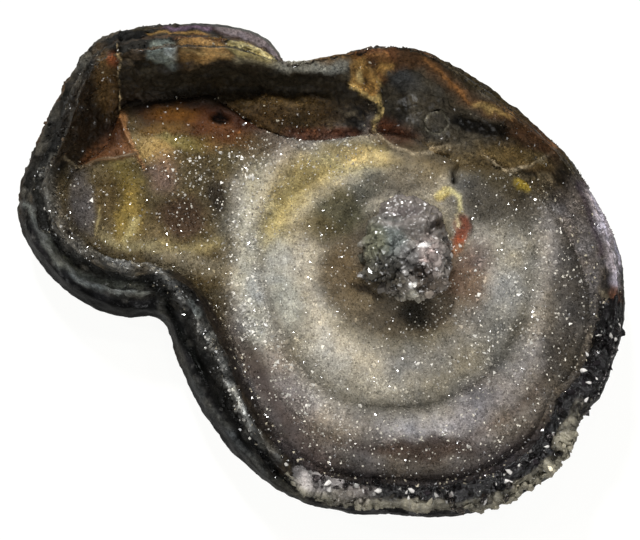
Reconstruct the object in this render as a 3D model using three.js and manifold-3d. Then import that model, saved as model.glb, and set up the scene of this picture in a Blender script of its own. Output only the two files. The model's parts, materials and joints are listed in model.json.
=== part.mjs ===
// A druzy chalcedony specimen, in millimetres, +Z up, with its origin under the middle of its underside.
// A dark shell of chalcedony with two lobes is open at the top like a shallow dish. Fine quartz crystals
// line the dish as one crust, with ripples round a knob of coarser crystals, and larger clear points
// stand along the front right of the rim. Seen from above, +Y is the side with the high broken wall.
import * as THREE from "three";
import { mergeVertices } from "three/addons/utils/BufferGeometryUtils.js";
import { ImprovedNoise } from "three/addons/math/ImprovedNoise.js";
import Module from "manifold-3d";

const wasm = await Module();
wasm.setup();

// Stations round the rim, counter-clockwise seen from above. Each row gives
// [x, y, height of the outermost edge, inset of the crest, height of the crest, width of the inner wall,
//  steepness of the inner wall near its crest].
const MAIN_LOBE = [
  [-12.8, -11.7, 5.2, 4.5, 12.0, 2.0, 1.2],
  [-10.6, -15.4, 5.2, 3.9, 11.8, 2.2, 1.2],
  [-7.6, -18.9, 5.6, 2.9, 11.3, 2.4, 1.2],
  [-4.4, -21.5, 6.6, 1.5, 10.6, 3.0, 1.2],
  [-1.2, -23.2, 7.2, 1.2, 10.2, 3.2, 1.2],
  [2.7, -24.0, 7.2, 1.0, 10.0, 3.2, 1.0],
  [7.2, -24.4, 7.2, 1.0, 9.9, 3.3, 1.0],
  [11.4, -24.6, 7.3, 1.0, 9.9, 3.4, 1.0],
  [15.4, -24.1, 7.5, 1.0, 10.0, 3.5, 1.0],
  [19.3, -22.6, 7.7, 1.0, 10.0, 3.6, 1.0],
  [22.4, -20.5, 7.8, 1.0, 10.1, 3.7, 1.0],
  [24.6, -17.9, 7.8, 1.0, 10.2, 3.7, 1.0],
  [26.2, -15.2, 7.8, 1.0, 10.3, 3.6, 1.0],
  [27.6, -12.6, 7.6, 1.0, 10.4, 3.4, 1.0],
  [28.7, -9.9, 7.4, 1.0, 10.6, 3.2, 1.1],
  [29.7, -6.6, 7.0, 1.1, 11.0, 3.2, 1.2],
  [30.2, -2.8, 6.6, 1.3, 11.5, 3.4, 1.2],
  [29.9, 0.8, 6.4, 1.5, 12.0, 3.6, 1.3],
  [28.7, 4.4, 6.2, 1.7, 12.5, 3.8, 1.4],
  [26.8, 8.1, 6.2, 1.8, 13.1, 3.8, 1.5],
  [24.2, 11.8, 6.4, 1.9, 13.8, 4.2, 1.8],
  [20.4, 15.4, 6.6, 2.3, 14.8, 5.2, 2.4],
  [16.6, 18.4, 6.8, 2.6, 15.8, 6.6, 2.8],
  [12.9, 20.5, 7.0, 2.0, 16.6, 7.6, 3.0],
  [9.2, 21.8, 7.2, 1.3, 17.0, 8.4, 2.8],
  [5.4, 22.0, 7.2, 1.2, 16.6, 8.4, 1.5],
  [2.6, 21.1, 7.0, 1.0, 15.6, 8.0, 1.9],
];
const UPPER_WAIST = [
  [0.4, 20.3, 6.8, 0.9, 14.9, 7.6, 2.6],
  [-1.7, 20.1, 6.8, 1.0, 14.4, 7.4, 2.8],
  [-3.3, 20.4, 6.8, 1.4, 14.3, 6.6, 2.8],
  [-4.1, 21.9, 6.6, 2.8, 14.6, 5.8, 2.8],
];
const LEFT_LOBE = [
  [-5.7, 23.6, 6.4, 4.2, 15.0, 5.0, 2.6],
  [-8.6, 24.5, 6.4, 4.9, 15.4, 4.8, 2.4],
  [-12.0, 24.8, 6.6, 5.0, 15.8, 4.4, 2.2],
  [-15.8, 24.7, 6.8, 5.0, 16.0, 4.2, 1.9],
  [-19.4, 24.1, 6.8, 4.6, 16.0, 4.4, 1.2],
  [-22.5, 22.9, 6.4, 4.2, 15.6, 4.8, 1.3],
  [-24.4, 20.5, 6.0, 3.8, 15.0, 5.0, 1.6],
  [-26.0, 17.6, 5.6, 3.7, 14.2, 4.8, 1.6],
  [-27.6, 14.4, 5.4, 3.7, 13.4, 4.0, 1.5],
  [-29.1, 10.9, 5.2, 3.7, 12.8, 3.0, 1.4],
  [-30.0, 7.4, 5.0, 3.5, 12.4, 2.4, 1.3],
  [-29.6, 4.1, 4.8, 3.5, 12.2, 2.2, 1.2],
  [-28.0, 1.1, 4.8, 3.4, 12.0, 2.2, 1.2],
  [-25.6, -1.6, 4.8, 3.3, 11.9, 2.0, 1.2],
  [-22.6, -3.5, 4.8, 3.2, 11.8, 1.9, 1.2],
  [-19.3, -4.6, 4.8, 3.3, 11.8, 1.8, 1.2],
];
const LOWER_WAIST = [
  [-16.6, -5.0, 4.9, 3.6, 11.8, 1.8, 1.2],
  [-15.0, -6.0, 5.0, 3.9, 11.9, 1.8, 1.2],
  [-14.2, -8.2, 5.1, 4.3, 12.0, 1.9, 1.2],
];
const STATIONS = [...MAIN_LOBE, ...UPPER_WAIST, ...LEFT_LOBE, ...LOWER_WAIST];

// The plan is swept from the rim towards a hub in each lobe, and along the line between the two hubs.
const MAIN_HUB = new THREE.Vector2(8.2, -0.4);
const LEFT_HUB = new THREE.Vector2(-16.8, 8.4);
const MAIN_COLUMNS = 54;
const WAIST_COLUMNS = 7;
const LEFT_COLUMNS = 26;

// Section of the shell. A pair is [share of the width in plan, share of the height].
const OUTER_SLOPE = [[0.2, 0.68], [0.42, 0.63], [0.58, 0.36], [0.82, 0.3], [1, 0]];
const UNDERSIDE = [[0.03, 0.7], [0.16, 0.4], [0.5, 0.13], [1, 0]];
const BASE_SHARE = 0.46; // the flat spot underneath, as a share of the way from the hubs to the rim
const WALL_STEPS = 5;
const BED_STEPS = 4;
const LUMP_SIZE = 4.2;
const LUMP_HEIGHT = 0.45;

// The dish, as the crust's upper side. Ripples run round the middle of the main lobe:
// [radius, rise, spread].
const RIPPLE_CENTRE = new THREE.Vector2(7.9, -0.8);
const DISH_FLOOR = 8.5;
const DISH_CURVE = 0.004;
const DISH_RADIUS = 20;
const RIPPLE_WANDER = 0.9;
const RIPPLES = [
  [5.6, -0.8, 1.2],
  [9.4, 0.8, 2.0],
  [12.8, -0.8, 0.8],
  [15.0, 0.7, 1.3],
  [17.4, -0.5, 0.7],
];
// Single hollows and swellings in the dish: [x, y, radius, rise].
const SWELLS = [
  [-12.9, 4.3, 2.8, -1.4],
  [-18.6, 6.6, 2.8, 0.6],
  [-9.5, 9.4, 2.4, -0.7],
  [-3.5, 11.6, 3.2, 0.8],
  [2.4, 5.4, 2.6, -0.7],
];
// Thin partitions that stand in the broken walls: [start, end, rise, spread].
const SEPTA = [
  [new THREE.Vector2(-19.7, 21.5), new THREE.Vector2(-18.4, 12.6), 1.3, 0.9],
  [new THREE.Vector2(5.4, 20.5), new THREE.Vector2(6.4, 14.6), 1.6, 1.1],
];
const CRUST_THICKNESS = 1.9; // with the gap under it
const CRUST_EDGE_THICKNESS = 1.0;
const POINT_HEIGHT = 0.5; // of the small crystal points in the crust
// Distances from the hub at which the crust's upper side has its corners, as far as the wall allows.
const CRUST_RINGS = [0, 2.6, 5.4, 7.4, 9.4, 11.4, 12.3, 12.9, 13.6, 15.0, 16.6, 17.4, 18.2];
const RING_REACH = 19.4;
const RING_SQUEEZE = 0.4;
const GAP = 0.3;

// The knob of coarser crystals in the middle of the ripples.
const KNOB = { x: 8.6, y: 1.6, halfWidth: 3.7, halfDepth: 4.6, height: 5.6, crystals: 20 };
const KNOB_SEAT = 8.9;
const SEAT_RADIUS = 5.2;

// Clear points on the rim, between these stations.
const POINTS_FROM = 3;
const POINTS_TO = 15;
const POINTS_BED = 0.8;
const POINTS_PER_ROW = 11;
const POINT_RADIUS = 0.95;
// Rows of points along the rim: share of the way up the wall, lean outwards in radians, and length.
const POINT_ROWS = [{ share: 0.95, lean: 0.75, length: 2.4 }, { share: 0.56, lean: 0.3, length: 1.9 }];

const perlin = new ImprovedNoise();
const noise = (x, y, size) => perlin.noise(x / size + 11.3, y / size + 4.7, 2.1);

// A repeatable random number from 0 to 1 for a pair of whole numbers.
function chance(a, b) {
  const s = Math.sin(a * 127.1 + b * 311.7) * 43758.5453;
  return s - Math.floor(s);
}

const bell = (distance, spread) => Math.exp(-((distance / spread) ** 2));
const mix = THREE.MathUtils.lerp;

function distanceToLine(p, start, end) {
  const line = new THREE.Line3(new THREE.Vector3(start.x, start.y, 0), new THREE.Vector3(end.x, end.y, 0));
  const point = new THREE.Vector3(p.x, p.y, 0);
  return line.closestPointToPoint(point, true, new THREE.Vector3()).distanceTo(point);
}

const planCurve = new THREE.CatmullRomCurve3(
  STATIONS.map(([x, y, edge]) => new THREE.Vector3(x, y, edge)), true, "centripetal");
const sectionCurve = new THREE.CatmullRomCurve3(
  STATIONS.map(([, , , inset, crest, wall]) => new THREE.Vector3(inset, crest, wall)), true, "centripetal");
const steepnessCurve = new THREE.CatmullRomCurve3(
  STATIONS.map((row) => new THREE.Vector3(row[6], 0, 0)), true, "centripetal");

// One column of the section at a station number, towards a point between the hubs.
function columnAt(station, towardsLeft) {
  const t = (station / STATIONS.length) % 1;
  const rim = planCurve.getPoint(t);
  const section = sectionCurve.getPoint(t);
  const edge = new THREE.Vector2(rim.x, rim.y);
  const hub = MAIN_HUB.clone().lerp(LEFT_HUB, towardsLeft);
  const inward = hub.clone().sub(edge).normalize();
  const crest = edge.clone().addScaledVector(inward, section.x);
  const foot = crest.clone().addScaledVector(inward, section.z);
  return {
    station, towardsLeft, edge, hub, inward, crest, foot,
    edgeHeight: rim.z,
    crestHeight: section.y,
    steepness: steepnessCurve.getPoint(t).x,
  };
}

function makeColumns() {
  const mainEnd = MAIN_LOBE.length - 1;
  const leftStart = MAIN_LOBE.length + UPPER_WAIST.length;
  const leftEnd = leftStart + LEFT_LOBE.length - 1;
  const arcs = [
    { from: 0, to: mainEnd, count: MAIN_COLUMNS, hubs: [0, 0] },
    { from: mainEnd, to: leftStart, count: WAIST_COLUMNS, hubs: [0, 1] },
    { from: leftStart, to: leftEnd, count: LEFT_COLUMNS, hubs: [1, 1] },
    { from: leftEnd, to: STATIONS.length, count: WAIST_COLUMNS, hubs: [1, 0] },
  ];
  return arcs.flatMap(({ from, to, count, hubs }) =>
    Array.from({ length: count }, (_, k) => columnAt(mix(from, to, k / count), mix(...hubs, k / count))));
}

// Height of the dish without its ripples and crystals.
function dishHeight(p) {
  const r = Math.min(p.distanceTo(RIPPLE_CENTRE), DISH_RADIUS);
  const swell = SWELLS.reduce(
    (sum, [x, y, radius, rise]) => sum + rise * bell(Math.hypot(p.x - x, p.y - y), radius), 0);
  return DISH_FLOOR + DISH_CURVE * r ** 2 + swell;
}

// Height of the crust's upper side, without its small points.
function crustHeight(p) {
  const r = p.distanceTo(RIPPLE_CENTRE) + RIPPLE_WANDER * noise(p.x, p.y, 9);
  const ripple = RIPPLES.reduce((sum, [radius, rise, spread]) => sum + rise * bell(r - radius, spread), 0);
  const fromKnob = Math.hypot(p.x - KNOB.x, p.y - KNOB.y);
  const seat = 1 - THREE.MathUtils.smoothstep(fromKnob, SEAT_RADIUS, SEAT_RADIUS + 1.5);
  return mix(dishHeight(p) + ripple, KNOB_SEAT, seat);
}

// Height of the chalcedony under the crust. The share runs from 0 at the hub to 1 at the foot of the wall.
function bedHeight(p, share) {
  return dishHeight(p) - mix(CRUST_THICKNESS, CRUST_EDGE_THICKNESS, share ** 3);
}

function septumRise(p) {
  return SEPTA.reduce(
    (sum, [start, end, rise, spread]) => sum + rise * bell(distanceToLine(p, start, end), spread), 0);
}

const at = (p, z) => new THREE.Vector3(p.x, p.y, z);
const lumps = (p) => LUMP_HEIGHT * noise(p.x, p.y, LUMP_SIZE);
const between = (a, b, share) => a.clone().lerp(b, share);

// The bed of the crust, from the hub at step 0 to the foot of the wall.
function bedPoint(column, step) {
  const share = step / BED_STEPS;
  const p = between(column.hub, column.foot, share);
  return at(p, bedHeight(p, share));
}

// The clear points stand on an even stretch of the rim.
const isUnderPoints = ({ station }) => station > POINTS_FROM - 1 && station < POINTS_TO + 1;

// The inner wall, from its foot at 0 to its crest at 1.
function wallPoint(column, share) {
  const p = between(column.foot, column.crest, share);
  if (isUnderPoints(column)) return at(p, mix(bedHeight(column.foot, 1), column.crestHeight, share));
  const z = mix(bedHeight(column.foot, 1), column.crestHeight, share ** column.steepness);
  return at(p, z + (septumRise(p) + lumps(p)) * Math.sin(Math.PI * Math.min(share, 0.75)));
}

// The outer slope, from the crest at 0 to the outermost edge at 1, with its two ledges.
function slopePoint(column, [share, height]) {
  const p = between(column.crest, column.edge, share);
  const rough = isUnderPoints(column) ? 0 : lumps(p) * (1 - share);
  return at(p, mix(column.edgeHeight, column.crestHeight, height) + rough);
}

// The underside, from the outermost edge at 0 to the flat spot at 1.
function undersidePoint(column, [share, height]) {
  const spot = between(column.hub, column.edge, BASE_SHARE);
  const p = between(column.edge, spot, share);
  const z = column.edgeHeight * height;
  return at(p, Math.max(0, z + 2 * lumps(p) * height * (1 - height) * 2));
}

// Joins loops of points into one closed skin: from the top's middle outwards, and back along the bottom.
// From the loop given on, the faces are split along their other diagonal, to lie even with the skin below.
function skin(loops, otherDiagonalFrom = loops.length) {
  const count = loops[0].length;
  const positions = loops.flat().flatMap((v) => [v.x, v.y, v.z]);
  const index = [];
  for (let i = 0; i + 1 < loops.length; i++)
    for (let j = 0; j < count; j++) {
      const a = i * count + j;
      const b = i * count + ((j + 1) % count);
      const [c, d] = [a + count, b + count];
      index.push(...(i < otherDiagonalFrom ? [a, c, b, b, c, d] : [a, c, d, a, d, b]));
    }
  return new THREE.BufferGeometry()
    .setAttribute("position", new THREE.Float32BufferAttribute(positions, 3))
    .setIndex(index);
}

// A closed mesh as a manifold-3d solid, without the faces that shrank to nothing where vertices merged.
function solidFrom(geometry) {
  const bare = geometry.clone();
  for (const name of ["normal", "uv"]) bare.deleteAttribute(name);
  const merged = mergeVertices(bare, 1e-3);
  const faces = [];
  const { array } = merged.index;
  for (let i = 0; i < array.length; i += 3) {
    const [a, b, c] = array.slice(i, i + 3);
    if (a !== b && b !== c && c !== a) faces.push(a, b, c);
  }
  return new wasm.Manifold(new wasm.Mesh({
    numProp: 3,
    vertProperties: new Float32Array(merged.attributes.position.array),
    triVerts: new Uint32Array(faces),
  }));
}

function geometryFrom(solid) {
  const mesh = solid.getMesh();
  const geometry = new THREE.BufferGeometry()
    .setAttribute("position", new THREE.Float32BufferAttribute(mesh.vertProperties, 3))
    .setIndex(Array.from(mesh.triVerts));
  geometry.computeVertexNormals();
  return geometry;
}

// A six-sided quartz point as a solid, with its root below the place it grows from.
function crystal(radius, length, place, direction, turn) {
  const profile = [[0, -length * 0.4], [radius, -length * 0.4], [radius, length * 0.45], [0, length]];
  const geometry = new THREE.LatheGeometry(profile.map(([x, y]) => new THREE.Vector2(x, y)), 6);
  geometry.rotateY(turn);
  geometry.applyQuaternion(new THREE.Quaternion().setFromUnitVectors(new THREE.Vector3(0, 1, 0), direction));
  geometry.translate(place.x, place.y, place.z);
  return solidFrom(geometry);
}

function makeBody(columns) {
  const loops = [];
  for (let k = 0; k <= BED_STEPS; k++) loops.push(columns.map((c) => bedPoint(c, k)));
  for (let k = 1; k <= WALL_STEPS; k++) loops.push(columns.map((c) => wallPoint(c, k / WALL_STEPS)));
  for (const pair of OUTER_SLOPE) loops.push(columns.map((c) => slopePoint(c, pair)));
  for (const pair of UNDERSIDE) loops.push(columns.map((c) => undersidePoint(c, pair)));
  loops.push(columns.map((c) => at(c.hub, 0)));
  return solidFrom(skin(loops));
}

// How far along a column of the given length a ring of the crust lies, from 0 at the hub to 1.
// The rings follow the ripples in the main lobe and are even in the left one.
function ringShare(k, length, towardsLeft) {
  const last = CRUST_RINGS.length;
  if (k === last) return 1;
  const radius = CRUST_RINGS[k] * Math.max(1, length / RING_REACH);
  const rippled = Math.max(0, Math.min(radius, length - RING_SQUEEZE * (last - k))) / length;
  return mix(rippled, k / last, towardsLeft);
}

// The crust ends a gap inside the foot of the wall. Its upper side rises in small points with flat faces.
function makeCrust(columns) {
  const ends = columns.map((c) => c.foot.clone().addScaledVector(c.inward, GAP));
  const loops = [];
  const last = CRUST_RINGS.length;
  for (let k = 0; k <= last; k++)
    loops.push(columns.map((c, j) => {
      const p = between(c.hub, ends[j], ringShare(k, c.hub.distanceTo(ends[j]), c.towardsLeft));
      const besideKnob = THREE.MathUtils.smoothstep(
        Math.hypot(p.x - KNOB.x, p.y - KNOB.y), SEAT_RADIUS, SEAT_RADIUS + 1);
      const besideHub = THREE.MathUtils.smoothstep(p.distanceTo(c.hub), 1, 4);
      const besideWall = k < last ? 1 : 0;
      const rise = POINT_HEIGHT * chance(j, k) * besideKnob * besideHub * besideWall;
      return at(p, crustHeight(p) + rise);
    }));
  const above = (v) => v.setZ(v.z + GAP);
  loops.push(columns.map((c) => {
    const inner = bedPoint(c, BED_STEPS - 1);
    const outer = bedPoint(c, BED_STEPS);
    return above(inner.lerp(outer, 1 - 2 * GAP / inner.distanceTo(outer)));
  }));
  for (let k = BED_STEPS - 1; k >= 0; k--) loops.push(columns.map((c) => above(bedPoint(c, k))));
  return solidFrom(skin(loops, last + 1));
}

// Coarse crystals fanned over a low core, cut off flat where they stand on the crust.
function makeKnob() {
  const foot = KNOB_SEAT + GAP;
  const core = new THREE.IcosahedronGeometry(1, 1);
  core.scale(KNOB.halfWidth, KNOB.halfDepth, KNOB.height);
  core.translate(KNOB.x, KNOB.y, foot);
  let knob = solidFrom(core);
  for (let k = 0; k < KNOB.crystals; k++) {
    const rise = 0.12 + 0.86 * ((k + 0.5) / KNOB.crystals);
    const turn = k * Math.PI * (3 - Math.sqrt(5));
    const spread = Math.sqrt(1 - rise * rise);
    const out = new THREE.Vector3(Math.cos(turn) * spread, Math.sin(turn) * spread, rise);
    const place = new THREE.Vector3(
      KNOB.x + out.x * KNOB.halfWidth * 0.9, KNOB.y + out.y * KNOB.halfDepth * 0.9, foot + out.z * KNOB.height * 0.9);
    const radius = 0.65 + 0.6 * chance(k, 3);
    knob = knob.add(crystal(radius, 1.7 * radius, place, out.normalize(), 6 * chance(k, 5)));
  }
  const block = new THREE.BoxGeometry(40, 40, 20);
  block.translate(KNOB.x, KNOB.y, foot - 10);
  return knob.subtract(solidFrom(block));
}

// Clear points along the front right of the rim, on a thin bed that joins them.
function makeRimCrystals(columns, body) {
  const strip = columns.filter((c) => c.station >= POINTS_FROM && c.station <= POINTS_TO);
  const lift = (v, rise) => v.setZ(v.z + rise);
  const across = [
    (c) => wallPoint(c, 1 / WALL_STEPS),
    (c) => wallPoint(c, 3 / WALL_STEPS),
    (c) => wallPoint(c, 1),
    (c) => slopePoint(c, OUTER_SLOPE[0]),
  ];
  // The strip is closed round its section, and thins out to nothing at each end.
  const sections = strip.map((c) => {
    const upper = across.map((place) => lift(place(c), GAP + POINTS_BED));
    const lower = across.map((place) => lift(place(c), GAP));
    return { upper, loop: [...upper.toReversed(), ...lower] };
  });
  const end = ({ upper }) => [...upper.toReversed(), ...upper];
  const bed = solidFrom(skin([end(sections[0]), ...sections.map(({ loop }) => loop), end(sections.at(-1))]));
  const points = POINT_ROWS.flatMap(({ share, lean, length }, row) =>
    Array.from({ length: POINTS_PER_ROW }, (_, k) => {
      const shift = 0.5 * row + 0.5 * (chance(k, 21 + row) - 0.5);
      const station = mix(POINTS_FROM + 0.5, POINTS_TO - 0.5, (k + shift) / (POINTS_PER_ROW - 0.5));
      const c = columnAt(station, 0);
      const place = lift(wallPoint(c, share - 0.1 * chance(k, 31 + row)), GAP + 0.6 * POINTS_BED);
      const out = new THREE.Vector3(-c.inward.x, -c.inward.y, 0)
        .multiplyScalar(Math.sin(lean)).setZ(Math.cos(lean));
      const size = 0.7 + 0.6 * chance(k, row);
      return crystal(POINT_RADIUS * size, length * size, place, out, 6 * chance(k, 9));
    }));
  // The points' roots end inside the bed.
  const roots = body.translate([0, 0, GAP + 0.4 * POINTS_BED]);
  return bed.add(wasm.Manifold.union(points).subtract(roots));
}

const FINISHES = {
  chalcedony_body: { color: 0x2a2724, roughness: 0.35, metalness: 0 },
  druzy_crust: { color: 0x9b948a, roughness: 0.3, metalness: 0 },
  crystal_knob: { color: 0x9a9a9a, roughness: 0.15, metalness: 0 },
  rim_crystals: { color: 0x8d8a84, roughness: 0.08, metalness: 0 },
};

function named(name, solid) {
  const mesh = new THREE.Mesh(geometryFrom(solid), new THREE.MeshStandardMaterial(FINISHES[name]));
  mesh.name = name;
  return mesh;
}

const columns = makeColumns();
const body = makeBody(columns);
const specimen = new THREE.Group();
specimen.add(
  named("chalcedony_body", body),
  named("druzy_crust", makeCrust(columns)),
  named("crystal_knob", makeKnob()),
  named("rim_crystals", makeRimCrystals(columns, body)),
);
const middle = new THREE.Box3().setFromObject(specimen).getCenter(new THREE.Vector3());
for (const { geometry } of specimen.children) geometry.translate(-middle.x, -middle.y, 0);
export default specimen;
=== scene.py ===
import json
import math
import bmesh
import bpy
import numpy as np
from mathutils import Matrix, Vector

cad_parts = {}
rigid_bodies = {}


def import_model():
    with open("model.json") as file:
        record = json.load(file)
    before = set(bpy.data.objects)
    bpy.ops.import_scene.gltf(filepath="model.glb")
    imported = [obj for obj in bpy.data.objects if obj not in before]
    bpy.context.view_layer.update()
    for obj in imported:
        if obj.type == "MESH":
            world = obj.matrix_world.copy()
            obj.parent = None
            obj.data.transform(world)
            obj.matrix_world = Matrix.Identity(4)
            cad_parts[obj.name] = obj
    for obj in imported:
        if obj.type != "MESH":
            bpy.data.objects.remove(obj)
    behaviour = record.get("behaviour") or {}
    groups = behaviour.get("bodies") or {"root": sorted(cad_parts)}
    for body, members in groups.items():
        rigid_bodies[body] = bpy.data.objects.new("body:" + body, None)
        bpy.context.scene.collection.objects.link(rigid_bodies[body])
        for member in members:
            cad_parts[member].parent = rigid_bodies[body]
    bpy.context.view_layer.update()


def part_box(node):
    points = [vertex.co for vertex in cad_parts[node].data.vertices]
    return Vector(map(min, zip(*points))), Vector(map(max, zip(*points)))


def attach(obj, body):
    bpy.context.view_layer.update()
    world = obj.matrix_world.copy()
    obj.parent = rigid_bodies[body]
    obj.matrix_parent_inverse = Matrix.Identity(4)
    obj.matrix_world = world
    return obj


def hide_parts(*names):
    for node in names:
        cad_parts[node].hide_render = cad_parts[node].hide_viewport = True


for leftover in list(bpy.data.objects):  # the start-up file's own cube, light and camera
    bpy.data.objects.remove(leftover)
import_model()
print("frame loaded")

mm = 0.001
stoneBox = [np.array(corner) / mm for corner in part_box("chalcedony_body")]

# One row for each station round the rim, counter-clockwise from above, in mm:
# x, y, edge height, crest inset, crest height, inner wall width, steepness
plan = {
    "mainLobe": [
        (-12.8, -11.7, 5.2, 4.5, 12.0, 2.0, 1.2), (-10.6, -15.4, 5.2, 3.9, 11.8, 2.2, 1.2),
        (-7.6, -18.9, 5.6, 2.9, 11.3, 2.4, 1.2), (-4.4, -21.5, 6.6, 1.5, 10.6, 3.0, 1.2),
        (-1.2, -23.2, 7.2, 1.2, 10.2, 3.2, 1.2), (2.7, -24.0, 7.2, 1.0, 10.0, 3.2, 1.0),
        (7.2, -24.4, 7.2, 1.0, 9.9, 3.3, 1.0), (11.4, -24.6, 7.3, 1.0, 9.9, 3.4, 1.0),
        (15.4, -24.1, 7.5, 1.0, 10.0, 3.5, 1.0), (19.3, -22.6, 7.7, 1.0, 10.0, 3.6, 1.0),
        (22.4, -20.5, 7.8, 1.0, 10.1, 3.7, 1.0), (24.4, -17.7, 7.8, 1.0, 10.2, 3.7, 1.0),
        (25.7, -14.9, 7.8, 1.0, 10.3, 3.6, 1.0), (27.6, -12.6, 7.6, 1.0, 10.4, 3.4, 1.0),
        (28.7, -9.9, 7.4, 1.0, 10.6, 3.2, 1.1), (29.7, -6.6, 7.0, 1.1, 11.0, 3.2, 1.2),
        (30.2, -2.8, 6.6, 1.3, 11.5, 3.4, 1.2), (29.9, 0.8, 6.4, 1.5, 12.0, 3.6, 1.3),
        (28.7, 4.4, 6.2, 1.7, 12.5, 3.8, 1.4), (26.8, 8.1, 6.2, 1.8, 13.1, 3.8, 1.5),
        (24.2, 11.8, 6.4, 1.9, 13.8, 4.2, 1.8), (20.4, 15.4, 6.6, 2.3, 14.8, 5.2, 2.4),
        (16.6, 18.4, 6.8, 2.6, 15.8, 6.6, 2.8), (12.9, 20.5, 7.0, 2.4, 16.6, 7.2, 3.0),
        (9.2, 21.8, 7.2, 2.1, 17.0, 7.6, 2.8), (5.4, 22.0, 7.2, 2.1, 16.6, 7.5, 1.5),
        (2.6, 21.1, 7.0, 1.5, 15.6, 7.5, 1.9),
    ],
    "upperWaist": [
        (0.4, 20.3, 6.8, 0.9, 14.9, 7.6, 2.6), (-1.7, 20.1, 6.8, 1.0, 14.4, 7.4, 2.8),
        (-3.3, 20.4, 6.8, 1.4, 14.3, 6.6, 2.8), (-4.1, 21.9, 6.6, 2.8, 14.6, 5.8, 2.8),
    ],
    "leftLobe": [
        (-5.7, 23.6, 6.4, 4.2, 15.0, 5.0, 2.6), (-8.6, 24.5, 6.4, 4.9, 15.4, 4.8, 2.4),
        (-12.0, 24.8, 6.6, 5.0, 15.8, 4.4, 2.2), (-15.8, 24.7, 6.8, 5.0, 16.0, 4.2, 1.9),
        (-19.4, 24.1, 6.8, 4.6, 16.0, 4.4, 1.2), (-22.5, 22.9, 6.4, 4.2, 15.6, 4.8, 1.3),
        (-24.4, 20.5, 6.0, 3.8, 15.0, 5.0, 1.6), (-26.0, 17.6, 5.6, 3.7, 14.2, 4.8, 1.6),
        (-27.6, 14.4, 5.4, 3.7, 13.4, 4.0, 1.5), (-29.1, 10.9, 5.2, 3.7, 12.8, 3.0, 1.4),
        (-30.0, 7.4, 5.0, 3.5, 12.4, 2.4, 1.3), (-29.6, 4.1, 4.8, 3.5, 12.2, 2.2, 1.2),
        (-28.0, 1.1, 4.8, 3.4, 12.0, 2.2, 1.2), (-25.6, -1.6, 4.8, 3.3, 11.9, 2.0, 1.2),
        (-22.6, -3.5, 4.8, 3.2, 11.8, 1.9, 1.2), (-19.3, -4.6, 4.8, 3.3, 11.8, 1.8, 1.2),
    ],
    "lowerWaist": [
        (-16.5, -4.6, 4.9, 3.6, 11.8, 1.8, 1.2), (-15.2, -5.4, 5.0, 3.9, 11.9, 1.8, 1.2),
        (-14.4, -7.8, 5.1, 4.3, 12.0, 1.9, 1.2),
    ],
    "mainHub": (8.2, -0.4),
    "leftHub": (-16.8, 8.4),
}
stations = np.array(plan["mainLobe"] + plan["upperWaist"] + plan["leftLobe"] + plan["lowerWaist"], float)
lobeEnds = np.cumsum([len(plan[part]) for part in ("mainLobe", "upperWaist", "leftLobe")]) - (1, 0, 1)

dish = {
    "centre": (7.9, -0.8),
    "floor": 8.5,
    "curve": 0.004,
    "radius": 20,
    "wander": 0.7,
    "ripples": [(5.6, -0.8, 1.2), (9.4, 0.8, 2.0), (12.8, -0.8, 0.8), (15.0, 0.7, 1.3), (17.4, -0.5, 0.7)],
    "swells": [(-12.9, 4.3, 2.8, -1.4), (-18.6, 6.6, 2.8, 0.6), (-9.5, 9.4, 2.4, -0.7),
               (-3.5, 11.6, 3.2, 0.8), (2.4, 5.4, 2.6, -0.7)],
    "thickness": 1.9,
    "edgeThickness": 1.0,
    "gap": 0.3,
}

view = {"elevation": 82, "distance": 262, "lens": 150, "look": (0.0, -0.15, 8.0)}


# numbers: colour, noise and plane shapes

def ink(r, g, b):  # a colour as the eye reads it, from 0 to 255, made linear
    c = np.array([r, g, b]) / 255.0
    return np.where(c <= 0.04045, c / 12.92, ((c + 0.055) / 1.055) ** 2.4)


def latticeValue(ix, iy, iz, seed):  # the same number from -1 to 1 for each lattice corner, every run
    h = (ix * 73856093) ^ (iy * 19349663) ^ (iz * 83492791) ^ (seed * 9737333)
    h = ((h ^ (h >> 13)) & 0x7FFFFFFF) * 1274126177 & 0x7FFFFFFF
    h = ((h ^ (h >> 15)) & 0x7FFFFFFF) * 668265263 & 0x7FFFFFFF
    return ((h >> 7) & 0xFFFFFF) / 0x7FFFFF - 1.0


def noise(x, y, z, size, seed):
    corner, inside = [], []
    for value in (x, y, z):
        scaled = np.asarray(value, float) / size + 91.7
        whole = np.floor(scaled).astype(np.int64)
        part = scaled - whole
        corner.append(whole)
        inside.append(part * part * part * (part * (part * 6 - 15) + 10))
    total = 0.0
    for dx in (0, 1):
        for dy in (0, 1):
            for dz in (0, 1):
                weight = 1.0
                for part, step in zip(inside, (dx, dy, dz)):
                    weight = weight * (part if step else 1 - part)
                total = total + weight * latticeValue(corner[0] + dx, corner[1] + dy, corner[2] + dz, seed)
    return total


def fractal(x, y, z, size, octaves, seed):
    total, weight, reach = 0.0, 1.0, 0.0
    for octave in range(octaves):
        total = total + weight * noise(x, y, z, size / 2 ** octave, seed + octave)
        reach += weight
        weight *= 0.55
    return total / reach


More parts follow.
